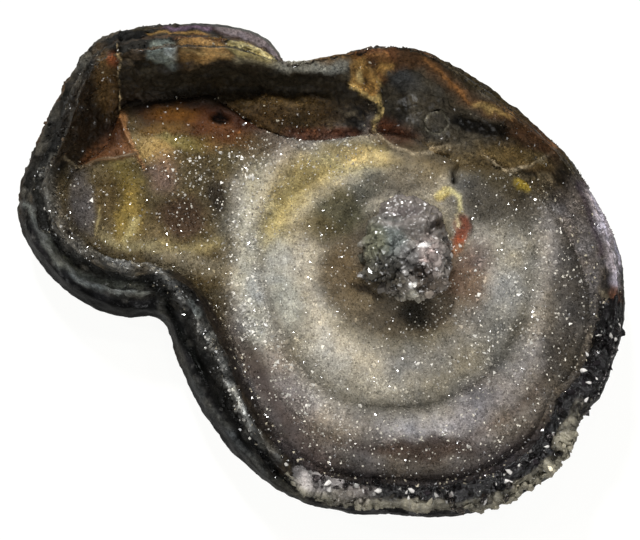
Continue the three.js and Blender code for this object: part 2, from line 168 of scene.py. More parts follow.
def facets(x, y, z, size, seed):  # slanting blocks: height from -1 to 1, a number for each, 0 between them
    where = np.stack([np.asarray(value, float) / size + 91.7 for value in (x, y, z)], axis=-1)
    cell = np.floor(where).astype(np.int64)
    nearest = np.full(where.shape[:-1], 9.0)
    second = nearest.copy()
    height, pick = np.zeros(where.shape[:-1]), np.zeros(where.shape[:-1])
    for step in np.ndindex(3, 3, 3):
        corner = cell + np.array(step) - 1
        cx, cy, cz = np.moveaxis(corner, -1, 0)
        random = [latticeValue(cx, cy, cz, seed + k) for k in range(7)]
        offset = where - corner - 0.5 - 0.42 * np.stack(random[:3], axis=-1)
        away = np.linalg.norm(offset, axis=-1)
        slanted = 0.9 * (offset * np.stack(random[3:6], axis=-1)).sum(axis=-1) + 0.55 * random[6]
        closer = away < nearest
        second = np.where(closer, nearest, np.minimum(second, away))
        height, pick = np.where(closer, slanted, height), np.where(closer, random[6], pick)
        nearest = np.where(closer, away, nearest)
    return height, pick, np.clip((second - nearest) / 0.3, 0, 1)


def bell(distance, spread):
    return np.exp(-(distance / spread) ** 2)


def smooth(value, low, high):
    part = np.clip((value - low) / (high - low), 0, 1)
    return part * part * (3 - 2 * part)


def stretch(value, rise, fall):  # 1 between two ends, each softened over a pair of values
    return smooth(value, *rise) * (1 - smooth(value, *fall))


def laidOver(base, colour, mask):
    mask = np.asarray(mask)[..., None]
    return base * (1 - mask) + colour * mask


def ellipse(x, y, cx, cy, rx, ry, turn):  # 0 in the middle, 1 on the edge
    c, s = math.cos(math.radians(turn)), math.sin(math.radians(turn))
    u = ((x - cx) * c + (y - cy) * s) / rx
    v = ((y - cy) * c - (x - cx) * s) / ry
    return np.sqrt(u * u + v * v)


def awayFrom(x, y, line):  # distance to a line of points
    best = np.full(np.shape(x), 1e9)
    for (ax, ay), (bx, by) in zip(line, line[1:]):
        ux, uy = bx - ax, by - ay
        t = np.clip(((x - ax) * ux + (y - ay) * uy) / (ux * ux + uy * uy), 0, 1)
        best = np.minimum(best, np.hypot(x - ax - t * ux, y - ay - t * uy))
    return best


def insideOf(x, y, corners):  # distance to the outline of a shape with corners, above 0 inside it
    inside = np.zeros(np.shape(x), bool)
    for (ax, ay), (bx, by) in zip(corners, corners[1:] + corners[:1]):
        inside ^= ((ay > y) != (by > y)) & (x < (bx - ax) * (y - ay) / (by - ay + 1e-9) + ax)
    return awayFrom(x, y, corners + corners[:1]) * np.where(inside, 1, -1)


def seen(x, y, z):  # where a point shows from the front, in mm on the level of the look point
    tilt = math.radians(view["elevation"])
    up = z - view["look"][2]
    nearer = up * math.sin(tilt) - y * math.cos(tilt)
    scale = view["distance"] / (view["distance"] - nearer)
    return x * scale, (y * math.sin(tilt) + up * math.cos(tilt)) * scale / math.sin(tilt)


# plan and section

def closedCurve(points, t):  # centripetal, through every row
    n = len(points)
    i = np.floor(t).astype(int)
    w = (t - i)[:, None]
    p0, p1, p2, p3 = (points[(i + k) % n] for k in (-1, 0, 1, 2))
    pairs = ((p0, p1), (p1, p2), (p2, p3))
    d0, d1, d2 = (np.maximum(((b - a) ** 2).sum(1) ** 0.25, 1e-4)[:, None] for a, b in pairs)
    m1 = ((p1 - p0) / d0 - (p2 - p0) / (d0 + d1) + (p2 - p1) / d1) * d1
    m2 = ((p2 - p1) / d1 - (p3 - p1) / (d1 + d2) + (p3 - p2) / d2) * d1
    return p1 + m1 * w + (-3 * p1 + 3 * p2 - 2 * m1 - m2) * w ** 2 + (2 * p1 - 2 * p2 + m1 + m2) * w ** 3


def makeColumns(mainCount, waistCount, leftCount):
    mainEnd, leftStart, leftEnd = lobeEnds
    arcs = [(0, mainEnd, mainCount, 0, 0), (mainEnd, leftStart, waistCount, 0, 1),
            (leftStart, leftEnd, leftCount, 1, 1), (leftEnd, len(stations), waistCount, 1, 0)]
    t = np.concatenate([np.linspace(a, b, n, endpoint=False) for a, b, n, *_ in arcs])
    left = np.concatenate([np.linspace(a, b, n, endpoint=False) for _, _, n, a, b in arcs])
    rim = closedCurve(stations[:, :3], t)
    section = closedCurve(stations[:, 3:6], t)
    steepness = closedCurve(np.pad(stations[:, 6:7], ((0, 0), (0, 2))), t)[:, 0]
    hub = (1 - left)[:, None] * np.array(plan["mainHub"]) + left[:, None] * np.array(plan["leftHub"])
    edge = rim[:, :2]
    inward = (hub - edge) / np.linalg.norm(hub - edge, axis=1)[:, None]
    crest = edge + inward * section[:, :1]
    foot = crest + inward * section[:, 2:3]
    return {"station": t, "hub": hub, "edge": edge, "inward": inward, "crest": crest, "foot": foot,
            "edgeHeight": rim[:, 2], "crestHeight": section[:, 1], "steepness": steepness}


def between(a, b, share):
    return a + (b - a) * share


def dishHeight(x, y):
    r = np.minimum(np.hypot(x - dish["centre"][0], y - dish["centre"][1]), dish["radius"])
    height = dish["floor"] + dish["curve"] * r ** 2
    for sx, sy, spread, rise in dish["swells"]:
        height = height + rise * bell(np.hypot(x - sx, y - sy), spread)
    return height


def ringRadius(x, y):  # distance from the middle of the ripples, a little uneven
    r = np.hypot(x - dish["centre"][0], y - dish["centre"][1])
    return r + dish["wander"] * noise(x, y, 0 * x, 8, 3) + 0.32 * fractal(x, y, 0 * x, 3.0, 3, 4)


def bedHeight(x, y, share):
    return dishHeight(x, y) - dish["thickness"] - (dish["edgeThickness"] - dish["thickness"]) * share ** 3


# mesh building

outline = closedCurve(stations[:, :3], np.linspace(0, len(stations), 2000, endpoint=False))[:, :2]
planShift = (stoneBox[0] + stoneBox[1])[:2] / 2 - (outline.min(axis=0) + outline.max(axis=0)) / 2
print("plan shift, mm:", planShift.round(3))


def buildMesh(name, grid, attributes):  # rows of points, in the plan's mm, joined in rings
    rows, columns = grid.shape[:2]
    grid = grid + np.append(planShift, 0)
    mesh = bpy.data.meshes.new(name)
    index = np.arange(rows * columns).reshape(rows, columns)
    a, c = index[:-1], index[1:]
    b, d = np.roll(a, -1, axis=1), np.roll(c, -1, axis=1)
    quads = np.stack([a, c, d, b], axis=-1).reshape(-1, 4)
    mesh.vertices.add(rows * columns)
    mesh.vertices.foreach_set("co", (grid.reshape(-1) * mm).astype(np.float32))
    mesh.loops.add(quads.size)
    mesh.loops.foreach_set("vertex_index", quads.reshape(-1).astype(np.int32))
    mesh.polygons.add(len(quads))
    mesh.polygons.foreach_set("loop_start", np.arange(0, quads.size, 4, dtype=np.int32))
    mesh.update(calc_edges=True)
    for key, values in attributes.items():
        if values.shape[-1:] == (3,):
            layer = mesh.attributes.new(key, "FLOAT_COLOR", "POINT")
            flat = np.concatenate([values.reshape(-1, 3), np.ones((rows * columns, 1))], axis=1)
            layer.data.foreach_set("color", flat.reshape(-1).astype(np.float32))
        else:
            layer = mesh.attributes.new(key, "FLOAT", "POINT")
            layer.data.foreach_set("value", values.reshape(-1).astype(np.float32))
    work = bmesh.new()
    work.from_mesh(mesh)
    bmesh.ops.remove_doubles(work, verts=work.verts, dist=2e-7)
    bmesh.ops.dissolve_degenerate(work, edges=work.edges, dist=1e-8)
    for face in work.faces:
        face.smooth = True
    work.to_mesh(mesh)
    work.free()
    piece = bpy.data.objects.new(name, mesh)
    bpy.context.scene.collection.objects.link(piece)
    return piece


def gridNormals(grid):
    down = np.gradient(grid, axis=0)
    along = np.roll(grid, -1, axis=1) - np.roll(grid, 1, axis=1)
    normal = np.cross(down, along)
    return normal / np.maximum(np.linalg.norm(normal, axis=2, keepdims=True), 1e-9)


def paint(x, y, colour, patches, warp, height=0):  # ragged stains over a base colour
    wx = x + warp * fractal(x, y, 0.5 * height + 0 * x, 1.8, 5, 11)
    wy = y + warp * fractal(x, y, 0.5 * height + 0 * x, 1.8, 5, 12)
    for shape, tone, strength, edge in patches:
        if isinstance(shape, list):
            mask = smooth(insideOf(wx, wy, shape), -edge, edge)
        elif isinstance(shape[0], list):
            mask = bell(awayFrom(wx, wy, shape[0]), shape[1])
        else:
            mask = 1 - smooth(ellipse(wx, wy, *shape), 1 - edge, 1 + edge)
        colour = laidOver(colour, ink(*tone), mask * strength)
    return colour


# marks that cross from the dish to its walls: outlines and lines, in mm

wedge = [(-19.6, 14.8), (-18.9, 12.8), (-17.8, 10.9), (-19.5, 10.2), (-21.5, 9.9), (-23.6, 10.0),
         (-22.6, 11.8), (-21.2, 13.2)]
wedgeEdge = [(-19.6, 15.0), (-19.0, 12.9), (-17.8, 10.9), (-17.0, 9.6)]
wedgeFoot = [(-24.9, 11.1), (-23.9, 9.8), (-22.2, 10.1), (-20.2, 10.3), (-17.9, 11.0)]
lip = [(5.4, 13.4), (6.2, 12.5), (7.5, 11.8), (9.8, 11.2), (12.9, 11.8), (14.4, 12.2), (15.2, 12.2),
       (16.7, 10.6), (18.2, 9.6),
       (20.2, 9.8), (23.2, 11.4)]
marks = [
    # dark band on the high wall under the overhanging crest: painted shadow
    ((-12.6, 16.6, 9.0, 2.6, 0), (34, 26, 18), 0.95, 0.3),
    ((-11.2, 14.1, 6.0, 1.5, -4), (70, 38, 20), 0.9, 0.5),
    ((-14.2, 14.8, 2.4, 0.8, 0), (136, 88, 34), 0.85, 0.6),
    ((-15.2, 13.4, 2.4, 0.6, 6), (112, 84, 44), 0.8, 0.5),
    ((-9.2, 12.9, 2.4, 1.2, -20), (88, 54, 28), 0.8, 0.5),
    ((-6.4, 11.6, 1.8, 1.4, 0), (84, 66, 40), 0.7, 0.5),
    ((-22.4, 13.6, 2.6, 3.6, -20), (36, 28, 18), 0.9, 0.4),
    (wedge, (112, 72, 42), 0.92, 0.35),
    ((-20.6, 13.2, 1.5, 1.6, 20), (66, 40, 24), 0.75, 0.6),
    # paler line along the wedge's ridge: painted highlight
    ((wedgeEdge, 0.2), (172, 128, 86), 0.85, 0.3),
    ((wedgeFoot, 0.12), (150, 134, 106), 0.6, 0.3),
    # near-black in the hole at the ledge's end: painted shade
    ((-9.7, 14.4, 0.8, 0.55, 10), (10, 8, 6), 0.95, 0.4),
    ((7.6, 13.2, 2.4, 1.3, -10), (88, 50, 30), 0.85, 0.5),
    ((13.4, 10.9, 6.4, 1.5, -4), (92, 78, 52), 0.8, 0.4),
    ((19.6, 11.0, 3.4, 1.3, -14), (78, 62, 38), 0.85, 0.4),
    ((lip, 0.13), (196, 180, 150), 0.75, 0.3),
]


# the druse in the dish

knob = {"x": 8.6, "y": 1.6, "seat": 8.9, "seatRadius": 5.2}

blackCrack = [(14.1, 10.8), (13.9, 9.9), (13.5, 9.2), (13.3, 8.1)]
paleCrack = [(-21.2, 5.1), (-21.3, 4.0), (-21.9, 2.9)]
druse = {
    "columns": (378, 100, 168),
    "rings": 84,
    # radius, rise, spread, and the direction where it is deepest
    "fineGrooves": [(12.9, -0.34, 0.3, -50), (11.7, -0.2, 0.25, -40), (14.3, -0.14, 0.25, 200),
                    (16.9, -0.16, 0.3, -90),
                    (19.0, -0.4, 0.5, -70)],
    # colour by distance from the middle of the ripples
    "ringTones": [
        (0.0, (92, 84, 70)), (4.8, (96, 86, 70)), (5.9, (112, 102, 84)), (6.9, (148, 140, 122)),
        (8.6, (176, 168, 152)), (11.0, (166, 159, 143)), (12.2, (146, 140, 126)), (12.9, (108, 103, 92)),
        (13.7, (146, 140, 130)), (15.2, (164, 157, 150)), (16.4, (146, 138, 130)), (17.2, (104, 94, 86)),
        (18.2, (128, 120, 112)), (19.0, (112, 104, 96)), (19.9, (70, 63, 60)), (21.2, (34, 29, 30)),
        (26.0, (34, 29, 29)),
    ],
    "leftTone": (88, 76, 52),
    "leftFrom": (7.5, 10.0),  # how far left of the middle it takes over
    "stains": [
        (([(-4.6, 3.4), (-3.4, 6.6), (-1.2, 9.2), (2.0, 10.6), (5.4, 10.9)], 1.8),
         (186, 171, 116), 0.75, 0.4),
        ((-2.4, 8.2, 3.0, 2.0, 40), (148, 132, 86), 0.6, 0.5),
        ((4.4, 10.9, 3.4, 1.0, -8), (206, 184, 130), 0.8, 0.4),
        ((9.8, 9.6, 4.4, 0.9, -4), (106, 94, 68), 0.7, 0.5),
        ((1.8, 5.2, 3.2, 2.3, 28), (72, 68, 46), 0.9, 0.4),
        ((5.0, 7.9, 1.9, 1.2, 10), (82, 82, 74), 0.85, 0.4),
        ((-0.6, 3.6, 1.8, 1.5, 0), (104, 92, 62), 0.6, 0.5),
        ((8.8, 8.4, 3.4, 1.2, 0), (102, 92, 74), 0.75, 0.5),
        ((-4.0, 0.6, 1.3, 2.6, 0), (180, 179, 171), 0.6, 0.5),
        ((-2.9, -3.6, 1.4, 2.6, 20), (172, 172, 160), 0.5, 0.5),
        ((2.2, -0.6, 2.2, 3.2, 0), (102, 86, 62), 0.75, 0.5),
        ((3.4, -3.7, 2.0, 1.4, -30), (100, 88, 68), 0.7, 0.5),
        # painted shadow of the knob on the dish in front of it
        ((9.8, -4.7, 2.2, 1.2, -6), (26, 24, 18), 0.92, 0.4),
        ((14.6, -1.6, 2.2, 2.6, 0), (104, 84, 72), 0.75, 0.5),
        ((15.6, 0.8, 1.6, 1.7, 0), (114, 94, 84), 0.6, 0.5),
        ((13.2, -4.8, 2.4, 1.6, 0), (116, 106, 92), 0.6, 0.5),
        ((17.4, 6.8, 4.2, 3.4, 0), (64, 58, 48), 0.8, 0.5),
        ((18.8, -0.4, 2.6, 4.4, 0), (150, 146, 136), 0.5, 0.5),
        ((24.7, -3.4, 2.6, 10.6, -9), (66, 61, 53), 0.85, 0.4),
        ((18.4, 9.4, 4.6, 1.9, -25), (86, 78, 60), 0.75, 0.5),
        ((10.6, -18.0, 6.0, 1.1, 0), (64, 51, 43), 0.85, 0.5),
        ((15.8, -13.6, 3.4, 2.4, 40), (134, 126, 122), 0.5, 0.5),
        (([(-7.1, -7.2), (-5.6, -11.2), (-2.8, -16.4), (0.4, -19.0)], 1.25), (82, 71, 66), 0.9, 0.3),
        (([(-5.2, -7.0), (-3.6, -11.0), (-0.8, -15.4)], 1.2), (124, 114, 106), 0.7, 0.3),
        (([(-6.0, 10.0), (-7.4, 4.0), (-7.2, -2.0), (-5.8, -6.6)], 1.6), (172, 168, 152), 0.85, 0.3),
        (([(-9.0, 7.6), (-9.2, 3.6), (-8.6, 0.6)], 0.5), (98, 92, 76), 0.6, 0.3),
        ((-19.2, 8.4, 1.7, 2.4, 12), (106, 90, 44), 0.85, 0.5),
        ((-18.6, 4.7, 1.3, 2.4, -8), (138, 116, 58), 0.85, 0.6),
        ((-20.6, 6.4, 1.2, 3.0, 0), (82, 68, 42), 0.85, 0.5),
        ((-16.6, 11.4, 2.3, 1.2, -16), (164, 139, 90), 0.8, 0.5),
        ((-13.0, 12.2, 2.4, 0.9, -6), (136, 124, 76), 0.8, 0.5),
        ((-9.4, 12.2, 2.4, 1.2, 0), (104, 76, 40), 0.8, 0.5),
        ((-15.2, 9.0, 1.6, 1.9, 0), (124, 100, 84), 0.8, 0.5),
        ((-11.6, 9.0, 2.4, 1.8, 10), (78, 68, 48), 0.8, 0.5),
        ((-13.4, 4.6, 2.3, 2.1, 0), (72, 56, 43), 0.95, 0.35),
        ((-10.2, 6.6, 1.0, 1.7, 10), (46, 40, 32), 0.92, 0.35),
        ((-15.6, 2.9, 1.2, 1.0, 0), (104, 90, 64), 0.6, 0.5),
        (([(-21.0, 2.6), (-18.6, 1.5), (-15.4, 1.7), (-12.4, 1.3), (-9.8, 2.4)], 0.5),
         (150, 138, 100), 0.7, 0.3),
        (([(-17.9, 4.4), (-18.3, 3.2), (-18.7, 2.4)], 0.4), (190, 176, 124), 0.55, 0.6),
        ((-12.0, 0.0, 4.4, 1.0, -12), (132, 124, 106), 0.7, 0.5),
        ((-8.6, 10.4, 1.6, 1.6, 0), (104, 92, 62), 0.7, 0.5),
        ((-23.2, 6.2, 1.3, 3.4, 10), (88, 82, 78), 0.85, 0.4),
        ((paleCrack, 0.13), (168, 150, 104), 0.75, 0.3),
        # near-black in the carved crack: painted shade
        ((blackCrack, 0.26), (24, 20, 14), 0.97, 0.3),
        ((12.4, 6.9, 0.8, 0.5, 20), (186, 166, 96), 0.85, 0.5),
        (([(11.9, 6.9), (12.9, 7.2), (13.6, 6.5), (13.9, 5.3)], 0.3), (208, 196, 142), 0.9, 0.4),
        ((14.0, 3.7, 0.6, 1.2, 8), (114, 50, 26), 0.85, 0.5),
        ((13.7, 2.5, 0.6, 0.6, -12), (148, 74, 44), 0.85, 0.5),
        # painted shadow line under the knob's left foot
        ((4.6, -2.5, 1.6, 0.4, -25), (34, 28, 22), 0.85, 0.5),
        ((13.6, 1.7, 0.5, 0.6, 0), (156, 112, 82), 0.75, 0.6),
        (([(14.6, 4.6), (14.7, 3.0)], 0.2), (40, 28, 22), 0.7, 0.3),
        # pale specks on the red patch: painted highlights
        (([(13.5, 4.9), (13.7, 3.7)], 0.14), (226, 210, 170), 0.8, 0.3),
        ((20.0, 7.8, 0.5, 0.9, 40), (168, 148, 62), 0.9, 0.4),
    ],
    # broad darker parts: ellipse, share of the light colour that stays
    "shades": [
        ((13.0, -7.0, 9.0, 8.0, 30), 0.53), ((19.0, 8.0, 7.0, 5.0, 0), 0.48),
        ((17.6, -12.4, 4.4, 3.0, 35), 0.8), ((2.0, -17.0, 9.0, 3.0, 0), 0.72),
        ((4.0, -20.4, 12.0, 1.8, 0), 0.6),
    ],
    # how many of the small crystals get the near-white colour of painted glints: ellipse or line, share
    "bright": [
        (([(-6.2, 11.0), (-7.2, 4.0), (-6.8, -4.0), (-5.0, -9.0), (-2.0, -14.0)], 2.0), 1.0),
        ((-12.0, 7.5, 3.6, 4.4, 0), 0.42),
        ((-0.5, 11.5, 6.0, 3.0, 0), 0.55), ((21.0, -3.0, 4.5, 9.0, 0), 0.45),
        ((8.0, -16.5, 12.0, 3.5, 0), 0.36), ((15.5, -8.0, 6.5, 7.0, 30), 0.36),
        ((14.8, 1.4, 3.4, 4.6, 0), 0.25),
    ],
    # smooth places with few crystals
    "bare": [
        ((-12.6, 16.4, 10.0, 3.4, 0), 0.9), ((-21.0, 12.4, 3.0, 3.2, 0), 0.8),
        ((14.0, 12.0, 9.0, 1.6, 0), 0.7),
        (([(-6.6, -8.4), (-5.2, -11.6), (-2.6, -16.4)], 0.9), 0.85), ((9.8, 10.4, 4.6, 1.0, -4), 0.6),
        ((-3.6, -2.5, 1.2, 4.0, 0), 0.4), (([(14.1, 10.8), (13.5, 9.2), (13.3, 8.1)], 0.4), 1.0),
    ],
    "cracks": [(lip, 0.2, 0.4), (wedgeEdge, 0.25, 0.7), (wedgeFoot, 0.2, 0.35), (blackCrack, 0.2, -0.9),
               ([(-10.3, 14.6), (-9.1, 14.3)], 0.4, -0.9), (paleCrack, 0.16, 0.3)],
    "innerReach": 13.6,
    "lip": 1.0,
    "lipRows": (0.3, 0.55, 0.8, 1.0),  # sunk into the wall at its end
    "underRows": (0.98, 0.75, 0.5, 0.25, 0.0),
    "bareSeat": (2.4, 3.2),  # no crystals under the knob
    "lumps": [(20.0, 7.8, 1.0, 0.8, 40, 0.5), (13.1, 6.6, 1.0, 0.6, 20, 0.5), (14.1, 3.6, 0.7, 1.7, 0, 0.7)],
}


def fieldOf(x, y, spots):
    field = np.zeros(np.shape(x))
    for shape, share in spots:
        if isinstance(shape[0], list):
            mask = bell(awayFrom(x, y, shape[0]), shape[1])
        else:
            mask = 1 - smooth(ellipse(x, y, *shape), 0.6, 1.25)
        field = np.maximum(field, mask * share)
    return field


def dishTone(x, y):
    r = ringRadius(x, y)
    radii = [ring[0] for ring in druse["ringTones"]]
    tones = np.array([ink(*ring[1]) for ring in druse["ringTones"]])
    tone = np.stack([np.interp(r, radii, tones[:, k]) for k in range(3)], axis=-1)
    tone = laidOver(tone, ink(*druse["leftTone"]), smooth(-x, *druse["leftFrom"]))
    for shape, share in druse["shades"]:
        mask = (1 - smooth(ellipse(x, y, *shape), 0.3, 1.3))[..., None]
        tone = tone * (1 - mask * (1 - share))
    tone = paint(x, y, tone, druse["stains"] + marks, 0.7)
    mottle = 1 + 0.42 * fractal(x, y, 0 * x, 2.2, 5, 81) + 0.3 * fractal(x, y, 0 * x, 0.7, 2, 85)
    hue = fractal(x, y, 0 * x, 3.4, 4, 87)[..., None] * np.array([0.1, 0.0, -0.22])
    return np.clip(tone * mottle[..., None] * (1 + hue), 0, 1)


# the chalcedony shell

lilacSheenEdge = [(26.6, 7.6), (27.9, 4.4), (28.9, 0.6), (29.2, -2.0)]
ringMark = {"x": 11.5, "y": 14.3, "radius": 1.15, "spread": 0.13, "rise": 0.3}
ringLine = [(ringMark["x"] + ringMark["radius"] * math.cos(0.6 * k),
             ringMark["y"] + ringMark["radius"] * math.sin(0.6 * k))
            for k in range(11)]
beadLine = [(-26.6, 9.4), (-26.3, 6.5), (-25.8, 4.6), (-24.8, 3.0), (-23.0, 1.6), (-21.2, 0.8), (-18.8, 0.3),
            (-17.0, 0.2), (-15.4, -0.9), (-14.0, -2.2), (-12.7, -4.2), (-11.1, -6.7),
            (-9.8, -9.2), (-8.8, -12.0),
            (-7.8, -14.2), (-6.6, -16.0), (-5.2, -17.4), (-4.0, -18.9)]
glintLine = beadLine[5:]
rindGroove = [(-27.5, 8.6), (-27.3, 6.4), (-27.0, 4.5), (-26.1, 2.8), (-25.2, 1.8),
              (-23.4, 0.4), (-21.5, -0.6),
              (-18.5, -0.8), (-16.6, -1.6), (-15.1, -3.4), (-13.8, -5.8), (-12.5, -8.6),
              (-11.0, -11.4), (-9.2, -14.3),
              (-7.4, -17.0), (-5.3, -19.2), (-3.2, -21.4)]
outerRidge = [(-29.3, 6.3), (-28.5, 6.2), (-28.0, 4.5), (-27.3, 3.0), (-26.7, 1.8),
              (-25.5, 0.1), (-24.0, -1.1),
              (-22.5, -1.9), (-20.8, -2.4), (-18.3, -2.5), (-16.8, -2.7)]
